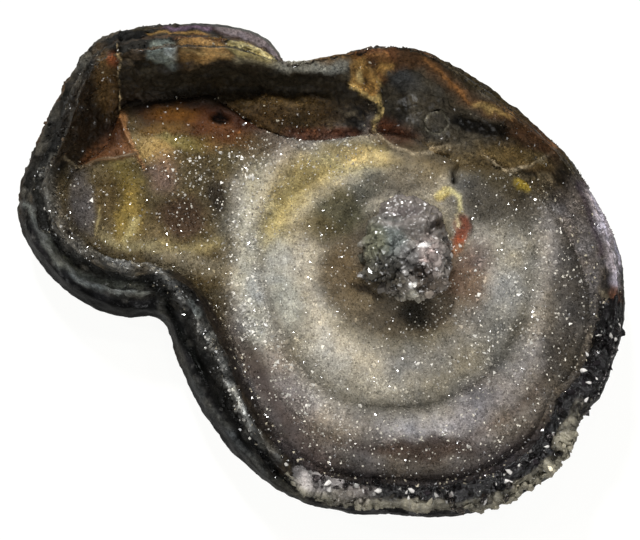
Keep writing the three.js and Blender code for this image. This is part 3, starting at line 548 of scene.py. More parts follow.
shell = {
    "columns": (432, 88, 192),  # main lobe, each waist, left lobe
    "wallRows": 52,
    "slopeRows": 38,
    "underRows": 20,
    "spotRows": 6,
    "slope": [(0, 1), (0.2, 0.68), (0.42, 0.63), (0.58, 0.36), (0.82, 0.3), (1, 0)],
    "underside": [(0, 1), (0.03, 0.7), (0.16, 0.4), (0.5, 0.13), (1, 0)],
    "flatSpot": 0.46,
    # noise: size in mm, octaves, seed
    "lumps": (3.2, 4, 41),
    "knobbly": (1.3, 4, 45),
    "grain": (0.45, 3, 49),
    "crags": (1.9, 5, 47),
    "layers": (1.1, 4, 53),
    # slanting blocks: size in mm, seed
    "blocks": (1.5, 61),
    "shards": (0.7, 71),
    "thinRidge": 0.55,
    "crestLift": 0.45,
    "lining": 0.9,  # how far the druse's colour goes up the wall's foot
    "floorRows": 4,
    # ellipses: where the surface is calm, and the two places that are polished
    "calm": (-8.4, 22.0, 5.8, 2.6, -18),
    "scoop": (12.6, 15.6, 6.6, 3.2, -22),
    "outerLobe": (-5.6, 23.0, 3.8, 1.8, -32),
    # darker and paler tone of each part, and the tones that lie over them
    "tones": {"wall": ((18, 16, 13), (54, 46, 36)), "slope": ((6, 6, 5), (40, 38, 34)),
              "band": ((9, 9, 9), (34, 33, 34)), "under": ((38, 34, 32), (86, 76, 66))},
    "overlay": {"vein": (84, 72, 54), "layer": (72, 60, 46), "fleck": (96, 88, 70),
                "slopeFleck": (104, 100, 90),
                "chip": (86, 84, 80), "dusty": (74, 66, 54), "rusty": (98, 70, 42)},
    # hollows and lumps in the walls: x, y, half length, half width, turn, rise
    "relief": [
        (17.5, 15.2, 8.0, 2.0, -36, -1.1), (10.0, 17.6, 3.0, 2.4, 0, -1.0), (15.6, 12.9, 3.2, 1.0, -18, 0.6),
        (-3.9, 15.0, 5.6, 1.5, 0, 1.5), (-8.0, 17.9, 11.0, 0.9, 0, -1.3), (-9.6, 14.4, 0.9, 0.8, 0, -1.3),
        (-21.8, 14.2, 2.0, 4.0, -25, -1.3), (-20.6, 19.4, 1.6, 2.6, 0, -0.7),
        (-13.4, 14.9, 3.0, 1.0, 0, -0.7),
        (6.5, 20.4, 2.6, 1.2, 0, 0.5), (22.0, 9.0, 2.6, 3.8, -30, 0.4), (-14.8, 20.8, 2.6, 1.4, 0, 0.7),
    ],
    # thin partitions and lips: line, spread, rise
    "ridges": [
        ([(-19.8, 22.5), (-19.7, 18.9), (-19.6, 15.0)], 0.28, 1.2), (wedgeEdge, 0.28, 0.9),
        (wedgeFoot, 0.2, 0.5),
        ([(3.4, 19.8), (4.8, 20.4), (6.1, 20.6)], 0.6, 0.6),
        ([(4.8, 19.3), (5.6, 18.0), (6.1, 17.0)], 0.7, 1.3),
        ([(6.1, 17.0), (6.3, 15.6), (5.9, 14.3), (5.2, 13.5)], 0.25, 0.8),
        (lip, 0.2, 0.45),
        (outerRidge, 0.3, 0.6), (beadLine, 0.5, 0.7), (rindGroove, 0.4, -0.5),
        ([(-13.8, -5.6), (-12.4, -9.2), (-9.4, -14.4), (-5.6, -19.2)], 0.3, 0.35),
        ([(10.6, 20.9), (13.3, 18.0), (15.7, 16.3), (18.7, 15.0)], 0.5, 0.7),
        ([(-10.4, 22.9), (-7.6, 21.9), (-5.0, 20.9), (-4.2, 20.0)], 0.25, 0.5),
        ([(-13.0, 21.9), (-9.0, 21.0), (-5.2, 19.9)], 0.22, 0.45),
    ],
    # stains: corners, ellipse or (line, spread), then colour, strength, edge softness
    "stains": [
        (([(-26.9, 3.2), (-25.8, 1.0), (-23.6, -0.8), (-21.0, -1.7), (-17.6, -1.9)], 0.4),
         (60, 62, 54), 0.7, 0.3),
        ((rindGroove[:13], 0.42), (9, 10, 8), 0.9, 0.3),
        ((rindGroove[12:], 0.75), (6, 6, 5), 0.95, 0.3),
        (([(-25.0, -2.4), (-21.8, -3.8), (-18.8, -4.2), (-16.0, -4.3)], 0.7), (5, 5, 5), 0.9, 0.3),
        # pale line on the outer ridge: painted highlight
        ((outerRidge, 0.22), (112, 115, 110), 0.8, 0.3),
        ((beadLine[:7], 0.75), (98, 96, 90), 0.85, 0.3),
        ((beadLine[6:], 0.45), (96, 94, 88), 0.85, 0.3),
        # the next four are painted highlights on the bead ridge: a broken glint line, two bright clumps and
        # one strong white glint
        ((glintLine, 0.14), (160, 158, 152), 0.4, 0.3),
        ((-12.2, -4.3, 0.5, 0.9, 24), (146, 151, 146), 0.8, 0.5),
        ((-10.7, -7.0, 0.4, 0.5, 20), (138, 140, 136), 0.75, 0.5),
        (([(-8.8, -11.6), (-7.8, -13.8), (-6.8, -15.6)], 0.26), (222, 220, 210), 0.85, 0.3),
        # soft pale line on the main lobe's outer edge: painted highlight
        (([(-15.5, -3.9), (-13.4, -9.8), (-10.1, -15.2), (-5.9, -19.8), (-1.7, -23.1)], 0.35),
         (74, 74, 70), 0.6, 0.3),
        (([(-11.2, -3.6), (-9.0, -8.0), (-7.2, -11.8), (-4.6, -16.0)], 0.5), (34, 29, 26), 0.8, 0.3),
        # dark band on the high wall under the overhanging crest: painted shadow
        ((-6.0, 18.0, 14.0, 2.0, -3), (34, 29, 20), 0.9, 0.4),
        ((-3.9, 15.0, 5.6, 2.1, 0), (58, 44, 24), 0.9, 0.3),
        ((-3.9, 16.2, 4.6, 0.6, 0), (84, 66, 38), 0.6, 0.3),
        ((0.4, 13.0, 3.6, 0.8, 0), (78, 42, 24), 0.75, 0.4),
        # near-black in the hole at the ledge's end: painted shade
        ((-9.8, 14.3, 0.8, 0.6, 0), (8, 6, 4), 0.95, 0.4),
        ((-22.4, 15.4, 2.4, 4.6, -20), (32, 24, 15), 0.9, 0.35),
        ((-21.0, 18.6, 1.0, 3.4, 8), (84, 64, 38), 0.85, 0.5),
        ((-20.5, 20.6, 0.4, 0.7, 0), (124, 70, 42), 0.85, 0.6),
        (([(-19.8, 22.3), (-19.7, 18.9), (-19.5, 15.4), (-18.8, 13.0)], 0.09), (178, 156, 118), 0.85, 0.3),
        ([(-16.7, 22.3), (-15.3, 22.7), (-14.2, 22.3), (-13.6, 20.8), (-14.2, 19.6), (-15.9, 19.8),
          (-16.9, 20.6)],
         (106, 112, 104), 0.9, 0.3),
        ((-14.6, 21.2, 0.7, 0.5, 20), (150, 156, 152), 0.8, 0.5),
        ([(-13.6, 22.7), (-12.1, 22.9), (-10.1, 22.5), (-8.6, 21.6), (-8.2, 20.6), (-10.1, 20.5),
          (-12.1, 19.9), (-13.4, 20.3)],
         (164, 130, 82), 0.95, 0.2),
        ((-12.7, 21.3, 1.5, 1.5, 0), (84, 64, 38), 0.75, 0.5),
        (([(-13.0, 22.2), (-10.6, 21.9), (-8.8, 21.3)], 0.1), (92, 72, 42), 0.6, 0.3),
        (([(-13.2, 21.4), (-10.8, 21.0), (-9.0, 20.8)], 0.1), (186, 158, 106), 0.5, 0.3),
        ([(-9.2, 22.1), (-8.2, 22.5), (-6.3, 22.1), (-4.9, 21.2), (-3.8, 20.2), (-5.5, 20.3),
          (-7.1, 20.5), (-8.4, 20.9)],
         (162, 148, 100), 0.95, 0.2),
        (([(-9.4, 22.2), (-8.7, 21.4), (-8.3, 20.7)], 0.13), (60, 44, 28), 0.8, 0.3),
        (([(-7.9, 21.9), (-6.2, 21.4), (-4.6, 20.6)], 0.12), (206, 196, 150), 0.6, 0.3),
        (([(-8.2, 20.6), (-6.0, 20.3), (-4.0, 20.1)], 0.3), (150, 140, 112), 0.7, 0.3),
        ([(-11.9, 24.3), (-9.2, 24.8), (-6.7, 24.4), (-4.4, 22.9), (-3.3, 21.0), (-3.2, 20.1),
          (-4.2, 20.6), (-5.5, 21.6),
          (-7.6, 22.6), (-9.2, 22.9), (-10.5, 23.7)], (112, 101, 101), 0.95, 0.14),
        (([(-10.6, 23.6), (-7.6, 22.5), (-5.2, 21.5), (-3.7, 20.2)], 0.16), (44, 28, 20), 0.9, 0.3),
        (([(-16.7, 23.2), (-14.2, 23.5), (-11.7, 23.2), (-9.2, 22.6)], 0.14), (138, 108, 60), 0.85, 0.3),
        (([(-14.0, 22.9), (-11.8, 23.0), (-9.6, 22.5)], 0.12), (104, 68, 42), 0.7, 0.3),
        (([(-19.4, 23.8), (-14.0, 24.5), (-11.0, 24.5)], 0.22), (150, 132, 92), 0.8, 0.3),
        (([(-15.2, 23.9), (-12.5, 24.0), (-10.8, 23.6)], 0.24), (108, 88, 106), 0.7, 0.3),
        ((-0.6, 20.0, 3.6, 0.8, 0), (148, 145, 132), 0.85, 0.3),
        ((12.6, 15.6, 6.4, 3.6, -22), (74, 69, 59), 0.95, 0.35),
        (([(7.4, 18.8), (8.4, 16.8), (8.0, 14.8)], 0.5), (18, 16, 13), 0.8, 0.3),
        ((8.4, 18.6, 2.2, 1.0, -30), (66, 66, 64), 0.7, 0.5),
        ((16.0, 13.8, 3.4, 0.9, -14), (14, 12, 9), 0.95, 0.3),
        ([(6.0, 21.6), (9.4, 21.4), (10.6, 20.4), (8.8, 19.6), (7.1, 19.4), (6.2, 20.4)],
         (80, 56, 36), 0.9, 0.3),
        ([(3.2, 20.9), (3.0, 18.3), (4.0, 17.4), (5.9, 16.7), (6.3, 18.7), (7.3, 19.9), (6.3, 21.2)],
         (156, 121, 68), 0.97, 0.2),
        ([(3.0, 21.4), (7.6, 21.8), (7.4, 20.4), (5.6, 19.9), (4.2, 20.6), (3.2, 20.4)],
         (92, 60, 36), 0.85, 0.3),
        (([(3.3, 19.7), (4.6, 18.9), (5.6, 17.6)], 0.2), (84, 58, 30), 0.7, 0.3),
        (([(4.6, 19.9), (5.6, 19.0), (6.3, 18.0)], 0.14), (184, 156, 96), 0.7, 0.3),
        (([(4.6, 20.6), (5.4, 19.2), (6.6, 18.6)], 0.35), (88, 60, 34), 0.8, 0.3),
        (([(3.6, 19.4), (4.6, 18.6), (4.8, 17.6)], 0.2), (112, 82, 44), 0.7, 0.3),
        (([(3.2, 18.2), (4.2, 17.2), (6.0, 16.6)], 0.22), (206, 178, 116), 0.9, 0.3),
        (([(6.0, 16.8), (6.0, 15.0), (5.3, 14.1), (5.4, 13.4)], 0.22), (176, 154, 100), 0.9, 0.3),
        ((0.8, 20.9, 2.4, 0.6, 0), (128, 98, 60), 0.6, 0.5),
        ((4.4, 18.4, 0.5, 0.4, 30), (54, 38, 22), 0.8, 0.5),
        ((5.0, 20.0, 0.8, 0.4, -20), (58, 38, 24), 0.8, 0.5),
        ((3.9, 19.0, 0.3, 0.6, 0), (196, 170, 112), 0.6, 0.5),
        ((22.6, 13.0, 5.2, 1.6, -42), (46, 38, 26), 0.85, 0.4),
        ([(10.8, 21.9), (15.5, 19.9), (19.5, 17.0), (23.5, 13.4), (26.8, 9.0), (25.4, 8.4),
          (22.2, 12.0), (18.4, 15.6),
          (14.6, 18.4), (11.0, 20.9)], (56, 48, 30), 0.88, 0.3),
        (([(10.4, 20.6), (13.3, 18.0), (15.7, 16.2), (18.7, 15.0)], 0.65), (112, 79, 50), 0.75, 0.3),
        (([(10.3, 20.8), (12.8, 18.4), (15.4, 16.2)], 0.17), (156, 108, 62), 0.85, 0.3),
        (([(15.4, 16.2), (17.4, 15.7), (18.7, 15.0)], 0.26), (176, 146, 90), 0.9, 0.3),
        ((21.2, 12.6, 2.8, 1.2, -38), (78, 55, 38), 0.8, 0.5),
        ((22.9, 12.1, 0.5, 0.35, -40), (112, 78, 50), 0.7, 0.5),
        ((19.0, 11.0, 3.4, 0.9, -10), (104, 88, 56), 0.7, 0.4),
        ((ringLine, 0.1), (150, 144, 124), 0.65, 0.3),
        ((25.4, 2.0, 3.0, 9.0, -18), (112, 105, 100), 0.75, 0.4),
        # pale lilac streak on the right rim: the edge's own lilac tint with a painted highlight
        ((lilacSheenEdge, 0.48), (184, 176, 184), 0.85, 0.3),
        (([(25.6, 8.4), (26.8, 5.0), (27.8, 1.0)], 0.3), (60, 50, 60), 0.7, 0.3),
        ((29.0, -3.0, 0.6, 1.2, 0), (92, 60, 44), 0.75, 0.5),
    ],
    # where the surface is wet-looking
    "gloss": [
        ((beadLine, 0.9), 0.8), ((glintLine, 0.4), 1.0), ((outerRidge, 0.4), 1.0),
        ((-8.8, 21.8, 5.4, 2.0, -15), 0.6), ((11.0, 16.4, 4.6, 3.6, -20), 0.12),
        ((-15.1, 21.1, 2.2, 2.0, 0), 0.5),
        ((lilacSheenEdge, 0.6), 1.0), ((-23.0, 16.0, 2.4, 5.0, -20), 0.4),
    ],
    # where grit of small crystals sits on the shell: ellipse, share
    "grit": [
        ((-3.9, 15.0, 5.8, 2.3, 0), 1.0), ((-9.8, 13.4, 3.0, 1.8, 0), 0.8), ((-21.6, 19.4, 2.2, 3.4, 0), 0.6),
        ((25.2, 2.0, 3.4, 9.6, -18), 1.0), ((4.6, 18.4, 2.0, 3.4, 12), 0.7), ((-0.6, 20.0, 3.6, 0.9, 0), 0.9),
        ((18.6, 13.4, 5.0, 1.4, -22), 0.5), ((19.0, 11.0, 4.2, 1.2, -10), 0.8),
        ((-24.6, 12.0, 1.6, 6.0, -20), 0.4),
    ],
    # stretches of stations round the rim, each softened over a pair at both ends
    "brokenWall": ((18.5, 21.5), (37.5, 40.5)),  # the high wall
    "grittySide": ((17.5, 20.5), (40.5, 42.5)),  # gritty outside, banded elsewhere
    "shoulder": ((16.5, 18.5), (24.0, 26.0)),  # calmer, at the upper right
    "pointStations": (3.5, 15.6),  # where the rim has clear points
}


def curveThrough(pairs, shares, blur):
    fine = np.linspace(0, 1, 401)
    height = np.interp(fine, *zip(*pairs))
    width = max(1, int(blur * 400))
    padded = np.pad(height, width, mode="edge")
    kernel = np.hanning(2 * width + 1)
    height = np.convolve(padded, kernel / kernel.sum(), mode="valid")
    height = height - (1 - fine) * (height[0] - pairs[0][1]) - fine * (height[-1] - pairs[-1][1])
    return np.interp(shares, fine, height)


def shellRows(c, crestHeight):  # points, and for each its zone and its share of the way through it
    n = len(c["station"])
    low = bedHeight(*c["foot"].T, 1)
    rows, zone, share = [], [], []

    def add(xy, z, where, part):
        rows.append(np.column_stack([xy, np.broadcast_to(z, n)]))
        zone.append(where)
        share.append(part)

    for part in np.arange(shell["floorRows"]) / shell["floorRows"]:
        xy = between(c["hub"], c["foot"], part)
        add(xy, bedHeight(*xy.T, part), 0, part)
    for part in np.linspace(0, 1, shell["wallRows"]):
        xy = between(c["foot"], c["crest"], part)
        add(xy, low + (crestHeight - low) * part ** c["steepness"], 1, part)
    outer = np.linspace(0, 1, shell["slopeRows"] + 1)[1:]
    for part, height in zip(outer, curveThrough(shell["slope"], outer, 0.05)):
        z = c["edgeHeight"] + (crestHeight - c["edgeHeight"]) * height
        add(between(c["crest"], c["edge"], part), z, 2, part)
    under = np.linspace(0, 1, shell["underRows"] + 1)[1:] ** 1.6
    spot = between(c["hub"], c["edge"], shell["flatSpot"])
    for part, height in zip(under, curveThrough(shell["underside"], under, 0.02)):
        add(between(c["edge"], spot, part), c["edgeHeight"] * height, 3, part)
    for part in np.linspace(0, 1, shell["spotRows"] + 1)[1:]:
        add(between(spot, c["hub"], part), 0.0, 4, 1)

    return np.stack(rows), np.array(zone)[:, None] * np.ones(n), np.array(share)[:, None] * np.ones(n)


def raiseRelief(grid, zone, share, broken, x, y):  # hollows, lumps, partitions and lips, on top only
    onTop = (zone == 1) * smooth(share, 0.0, 0.18) + (zone == 2) * (1 - smooth(share, 0.55, 0.95))
    for cx, cy, rx, ry, turn, rise in shell["relief"]:
        grid[..., 2] += onTop * rise * np.exp(-ellipse(x, y, cx, cy, rx, ry, turn) ** 2)
    nearCrest = (zone == 1) * smooth(share, 0.78, 1.0) + (zone == 2) * (1 - smooth(share, 0.0, 0.3))
    crestFade = 0.85 * broken * nearCrest  # a thin ridge doesn't stand up from the broken edge
    for line, spread, rise in shell["ridges"]:
        rough = 0.8 + 0.7 * noise(x, y, 0 * x, 0.9, 31)
        wander = 0.18 * noise(x, y, 0 * x, 1.4, 32)
        kept = 1 - crestFade * (spread < shell["thinRidge"])
        grid[..., 2] += onTop * kept * rise * rough * bell(awayFrom(x, y, line) + wander, spread)
    fromRing = np.hypot(x - ringMark["x"], y - ringMark["y"]) - ringMark["radius"]
    grid[..., 2] += onTop * ringMark["rise"] * bell(fromRing, ringMark["spread"])


def makeShell():
    c = makeColumns(*shell["columns"])
    broken = stretch(c["station"], *shell["brokenWall"])
    ex, ey = c["crest"].T
    jag = 0.5 * fractal(ex, ey, 0 * ex, 2.6, 4, 21) + 0.25 * noise(ex, ey, 0 * ex, 0.7, 25)
    grid, zone, share = shellRows(c, c["crestHeight"] + broken * (jag + shell["crestLift"]))
    x, y = seen(grid[..., 0], grid[..., 1], grid[..., 2])
    plainX, plainY = grid[..., 0].copy(), grid[..., 1].copy()
    raiseRelief(grid, zone, share, broken, x, y)

    # grain, lumps and small breaks, along the surface's own direction
    normal = gridNormals(grid)
    tilt = math.radians(view["elevation"])
    facing = normal[..., 2] * math.sin(tilt) - normal[..., 1] * math.cos(tilt)
    z = grid[..., 2]
    clear = np.where(zone == 0, 0, 1) * np.where(zone == 3, np.clip(z / 2.5, 0, 1), 1) * (zone < 4)
    lumps = fractal(x, y, z, *shell["lumps"])
    knobbly = np.abs(fractal(x, y, z, *shell["knobbly"]))
    grain = fractal(x, y, z, *shell["grain"])
    wallPart, slopePart, underPart = zone == 1, zone == 2, zone == 3
    rough = stretch(c["station"], *shell["grittySide"])
    smoothBand = slopePart * smooth(share, 0.5, 0.62) * (1 - rough)
    crags = 0.62 - np.abs(fractal(x, y, z, *shell["crags"]))
    layers = 1.8 * fractal(x / 3.5, y / 3.5, z, *shell["layers"])
    blocks, pick, gaps = facets(x, y, z, *shell["blocks"])
    shards, shardPick, shardGaps = facets(x, y, z, *shell["shards"])
    shoulder = stretch(c["station"], *shell["shoulder"])
    tidyWall = 0.1 * lumps - 0.2 * knobbly + 0.07 * grain
    roughWall = (0.35 * lumps + 0.7 * crags - 0.35 + 0.2 * layers + 0.16 * blocks + 0.12 * shards
                 + 0.08 * grain)
    gravel = 0.12 * grain + 0.14 * blocks + 0.12 * shards - 0.5 * knobbly
    slope = 0.22 * lumps + (1 - smoothBand) * (1 - 0.6 * shoulder) * gravel
    slope += smoothBand * (0.05 * grain - 0.1 * knobbly + 0.05 * shards)
    under = 0.35 * lumps - 0.15 * knobbly + 0.03 * grain + 0.5 * rough * gravel
    calm = 1 - smooth(ellipse(x, y, *shell["calm"]), 0.8, 1.1)
    amount = (1 - 0.75 * calm) * (wallPart * (tidyWall * (1 - broken) + roughWall * broken)
              + slopePart * slope + underPart * under)
    grid += normal * (amount * clear * (1 - 0.6 * smooth(share, 0.9, 1.0) * wallPart))[..., None]
    grid[..., 2] = np.maximum(grid[..., 2], 0)
    grid[-1, :, 2] = 0

    # colour, polish and cover
    cloud = smooth(fractal(x, y, z, 2.0, 5, 51), -0.45, 0.5)
    vein = 1 - smooth(np.abs(fractal(x, y, 2 * z, 2.6, 4, 55)), 0.0, 0.12)
    clouded = {part: laidOver(ink(*dark), ink(*pale), cloud) for part, (dark, pale) in shell["tones"].items()}
    over = {part: ink(*colour) for part, colour in shell["overlay"].items()}
    tone = laidOver(clouded["wall"], over["vein"], 0.5 * vein)
    tone = laidOver(tone, over["layer"], 0.5 * smooth(layers, 0.2, 1.0) * broken * wallPart)
    fleck = smooth(pick, 0.45, 0.9) * gaps
    slopeTone = laidOver(clouded["slope"], over["slopeFleck"], 0.6 * fleck)
    tone = laidOver(tone, over["fleck"], 0.35 * fleck)
    # darker along the joins between the blocks: painted shade; and a random tone for each block
    tone = tone * (0.55 + 0.45 * gaps[..., None]) * (1 + 0.5 * pick[..., None])
    bandTone = laidOver(clouded["band"], over["chip"], 0.45 * smooth(shardPick, 0.35, 0.8) * shardGaps)
    sideTone = laidOver(slopeTone, bandTone, smoothBand)
    tone = np.where((slopePart | underPart)[..., None], sideTone, tone)
    below = underPart * smooth(share + 0.25 * fractal(plainX, plainY, z, 4.0, 4, 58), 0.1, 0.55) + (zone == 4)
    tone = laidOver(tone, clouded["under"], below)
    reach = 0.16 + 0.5 * (1 - broken) + 0.3 * fractal(plainX, plainY, z, 1.6, 4, 57)
    lining = wallPart * (1 - smooth(share, reach - 0.22, reach + 0.14)) * shell["lining"]
    tone = laidOver(tone, dishTone(plainX, plainY) * (1 - 0.45 * smooth(share, 0, 0.6)[..., None]), lining)
    stained = paint(x, y, tone, marks + shell["stains"], 0.55, z)
    # along the bead line: a random tone for each pebble, and painted shade between them
    pebbly = 0.8 * bell(awayFrom(x, y, beadLine), 0.9)
    pebbleToneAndShade = (0.45 + 0.55 * shardGaps) * (1 + 0.6 * shardPick)
    stained = stained * (1 - pebbly + pebbly * pebbleToneAndShade)[..., None]
    mottle = 1 + 0.5 * fractal(x, y, z, 1.5, 5, 83) + 0.3 * fractal(x, y, z, 0.5, 2, 84)
    hue = fractal(x, y, z, 2.6, 4, 87)[..., None] * np.array([0.12, 0.0, -0.2])
    stained = np.clip(stained * mottle[..., None] * (1 + hue), 0, 1)
    dusty = smooth(fractal(plainX / 5, plainY / 5, z, 1.5, 4, 88), -0.15, 0.5)
    rusty = smooth(fractal(plainX / 1.6, plainY / 1.6, z, 2.6, 4, 89), 0.12, 0.5)
    plain = laidOver(laidOver(tone, over["dusty"], 0.55 * dusty), over["rusty"], 0.5 * rusty)
    plain = np.clip(plain * mottle[..., None], 0, 1)
    turned = slopePart * (1 - smooth(facing, 0.1, 0.45)) * np.maximum(rough, 0.35)
    turned = np.where(zone >= 3, 0.35 + 0.65 * rough * (1 - smooth(share, 0.3, 1.0)), turned)
    tone = laidOver(np.where((zone <= 2)[..., None], stained, tone), plain, turned)
    scoop = 1 - smooth(ellipse(x, y, *shell["scoop"]), 0.8, 1.1)
    outerLobe = 1 - smooth(ellipse(x, y, *shell["outerLobe"]), 0.8, 1.1)
    polish = np.maximum(smoothBand, np.maximum(scoop * wallPart, outerLobe * slopePart)) + 0.6 * underPart
    grit = fieldOf(x, y, shell["grit"])
    roughSlope = slopePart * (1 - smooth(share, 0.4, 0.55)) * 0.35
    grit = np.maximum(grit * (zone <= 2) * (zone >= 1), roughSlope)
    grit *= smooth(noise(x, y, z, 1.1, 61), -0.5, 0.5)
    grit = np.maximum(grit, 1.0 * lining)
    # share of grit and bead crystals coloured white as painted glints, most along the glint line
    bright = 0.2 + 0.7 * lining + 0.5 * roughSlope + 0.9 * bell(awayFrom(x, y, glintLine), 0.35)
    gloss = fieldOf(x, y, shell["gloss"]) * smooth(noise(x, y, z, 0.7, 63), -0.3, 0.5)
    stray = 0.1 * slopePart * rough * (1 - calm) * (1 - shoulder)
    beads = np.maximum(bell(awayFrom(x, y, beadLine), 0.8), stray) * (zone >= 1) * (zone <= 2)
    beads = beads * smooth(noise(x, y, z, 1.3, 67), -0.7, 0.2)
    fields = {"tone": tone, "polish": polish, "gloss": gloss, "grit": grit, "beads": beads,
              "bright": np.clip(bright, 0, 1)}
    return buildMesh("chalcedonyShell", grid, fields), grid, zone, share, c["station"]


stoneShell, shellGrid, shellZone, shellShare, shellStation = makeShell()
print("chalcedony shell:", len(stoneShell.data.polygons), "faces")


# the druse surface

def crustHeight(x, y):
    r = ringRadius(x, y)
    z = dishHeight(x, y)
    evenness = 0.75 + 0.5 * fractal(x, y, 0 * x, 5.5, 2, 77)
    for radius, rise, spread in dish["ripples"]:
        z = z + rise * evenness * bell(r - radius, 1.15 * spread)
    around = np.degrees(np.arctan2(y - dish["centre"][1], x - dish["centre"][0]))
    for radius, rise, spread, deepest in druse["fineGrooves"]:
        away = np.abs((around - deepest + 180) % 360 - 180)
        z = z + rise * (0.12 + 0.88 * bell(away, 55)) * evenness * bell(r - radius, spread)
    for line, spread, rise in druse["cracks"]:
        z = z + rise * bell(awayFrom(x, y, line), spread)
    for cx, cy, rx, ry, turn, rise in druse["lumps"]:
        z = z + rise * np.exp(-ellipse(x, y, cx, cy, rx, ry, turn) ** 2)
    seat = 1 - smooth(np.hypot(x - knob["x"], y - knob["y"]), knob["seatRadius"], knob["seatRadius"] + 1.5)
    z = z + (knob["seat"] - z) * seat
    return z + 0.16 * fractal(x, y, 0 * x, 1.5, 4, 71) + 0.05 * noise(x, y, 0 * x, 0.24, 75)


def makeDruse():
    c = makeColumns(*druse["columns"])
    ends = c["foot"] + c["inward"] * 0.05
    rows = []
    for part in np.linspace(0, 1, druse["rings"]):
        xy = between(c["hub"], ends, part)
        rows.append(np.column_stack([xy, crustHeight(*xy.T)]))
    low = bedHeight(*c["foot"].T, 1)
    wallWidth = np.linalg.norm(c["crest"] - c["foot"], axis=1)
    for part in druse["lipRows"]:
        out = druse["lip"] * part
        xy = ends - c["inward"] * out
        wall = low + (c["crestHeight"] - low) * (out / wallWidth) ** c["steepness"]
        top = crustHeight(*xy.T)
        sunk = top + (np.minimum(wall - 0.25, top) - top) * smooth(part, 0.2, 1.0)
        rows.append(np.column_stack([xy, sunk]))
    for part in druse["underRows"]:
        xy = between(c["hub"], c["foot"], part)
        rows.append(np.column_stack([xy, bedHeight(*xy.T, part) + dish["gap"]]))
    grid = np.stack(rows)
    x, y = grid[..., 0], grid[..., 1]
    r = ringRadius(x, y)
    tone = dishTone(x, y)
    edge = np.ones(len(rows))
    edge[:druse["rings"]] = smooth(np.linspace(0, 1, druse["rings"]), 0.86, 1.0)
    tone = tone * (1 - 0.3 * edge[:, None, None])
    # share of the crystals here that get the near-white colour of painted glints
    bright = np.clip(0.13 + fieldOf(x, y, druse["bright"]), 0, 1)
    cover = 1 - fieldOf(x, y, druse["bare"])
    cover[-len(druse["underRows"]):] = 0
    cover = cover * smooth(np.hypot(x - knob["x"], y - knob["y"]), *druse["bareSeat"])
    inner = (r < druse["innerReach"]) * 1.0
    clumps = smooth(fractal(x, y, 0 * x, 1.5, 4, 90), -0.1, 0.45)
    fields = {"tone": tone, "bright": bright, "inner": cover * inner, "outer": cover * (1 - inner),
              "large": cover * clumps * np.clip(0.1 + 0.9 * fieldOf(x, y, druse["bright"]), 0, 1)}
    return buildMesh("druseBed", grid, fields)


druseSurface = makeDruse()
print("druse surface:", len(druseSurface.data.polygons), "faces")


# crystals that grow on a surface, by Geometry Nodes

def crystalShape(name, body, tip, off):  # a six-sided point of radius 1, closed all round
    mesh = bpy.data.meshes.new(name)
    corners = [(math.cos(k * math.pi / 3), math.sin(k * math.pi / 3)) for k in range(6)]
    verts = [(x, y, -0.7) for x, y in corners]
    verts += [(x, y, body + 0.18 * math.sin(2.1 * k)) for k, (x, y) in enumerate(corners)]
    verts.append((off, 0.6 * off, tip))
    sides = [(k, (k + 1) % 6, (k + 1) % 6 + 6, k + 6) for k in range(6)]
    tips = [(k + 6, (k + 1) % 6 + 6, 12) for k in range(6)]
    mesh.from_pydata(verts, [], [(5, 4, 3, 2, 1, 0)] + sides + tips)
    return bpy.data.objects.new(name, mesh)


def chunkShape(name, seed):  # a broken block with a slanting top
    mesh = bpy.data.meshes.new(name)
    verts = []
    for level, (z, wide) in enumerate(((-0.6, 0.9), (0.45, 1.0), (0.9, 0.55))):
        for k in range(5):
            jitter = 0.22 * noise(7.3 * k, 3.1 * level, 0, 1.0, seed)
            turn = 2 * math.pi * (k + 0.35 * noise(k, 0, 0, 0.7, seed + 1)) / 5
            x, y = (wide + jitter) * math.cos(turn), (wide + jitter) * math.sin(turn)
            tilt = 0.35 * x * (level > 0)
            verts.append((x, y, z + tilt))
    sides = [(5 * n + k, 5 * n + (k + 1) % 5, 5 * n + 5 + (k + 1) % 5, 5 * n + 5 + k)
             for n in (0, 1) for k in range(5)]
    mesh.from_pydata(verts, [], [(4, 3, 2, 1, 0), (10, 11, 12, 13, 14)] + sides)
    return bpy.data.objects.new(name, mesh)


def pyramidShape(name, sides, tip, off):
    mesh = bpy.data.meshes.new(name)
    corners = [2 * math.pi * k / sides for k in range(sides)]
    verts = [(math.cos(turn), math.sin(turn), -0.5) for turn in corners] + [(off, -off, tip)]
    faces = [tuple(reversed(range(sides)))] + [(k, (k + 1) % sides, sides) for k in range(sides)]
    mesh.from_pydata(verts, [], faces)
    return bpy.data.objects.new(name, mesh)


crystalInputs = [
    ("Surface", "Geometry", None), ("Crystal", "Object", None), ("Cover", "String", "fine"),
    ("Spacing", "Float", 0.2 * mm), ("Density", "Float", 3e7), ("Smallest", "Float", 0.1 * mm),
    ("Largest", "Float", 0.2 * mm), ("Lean", "Float", 0.6), ("Seed", "Int", 1), ("Finish", "Material", None),
]
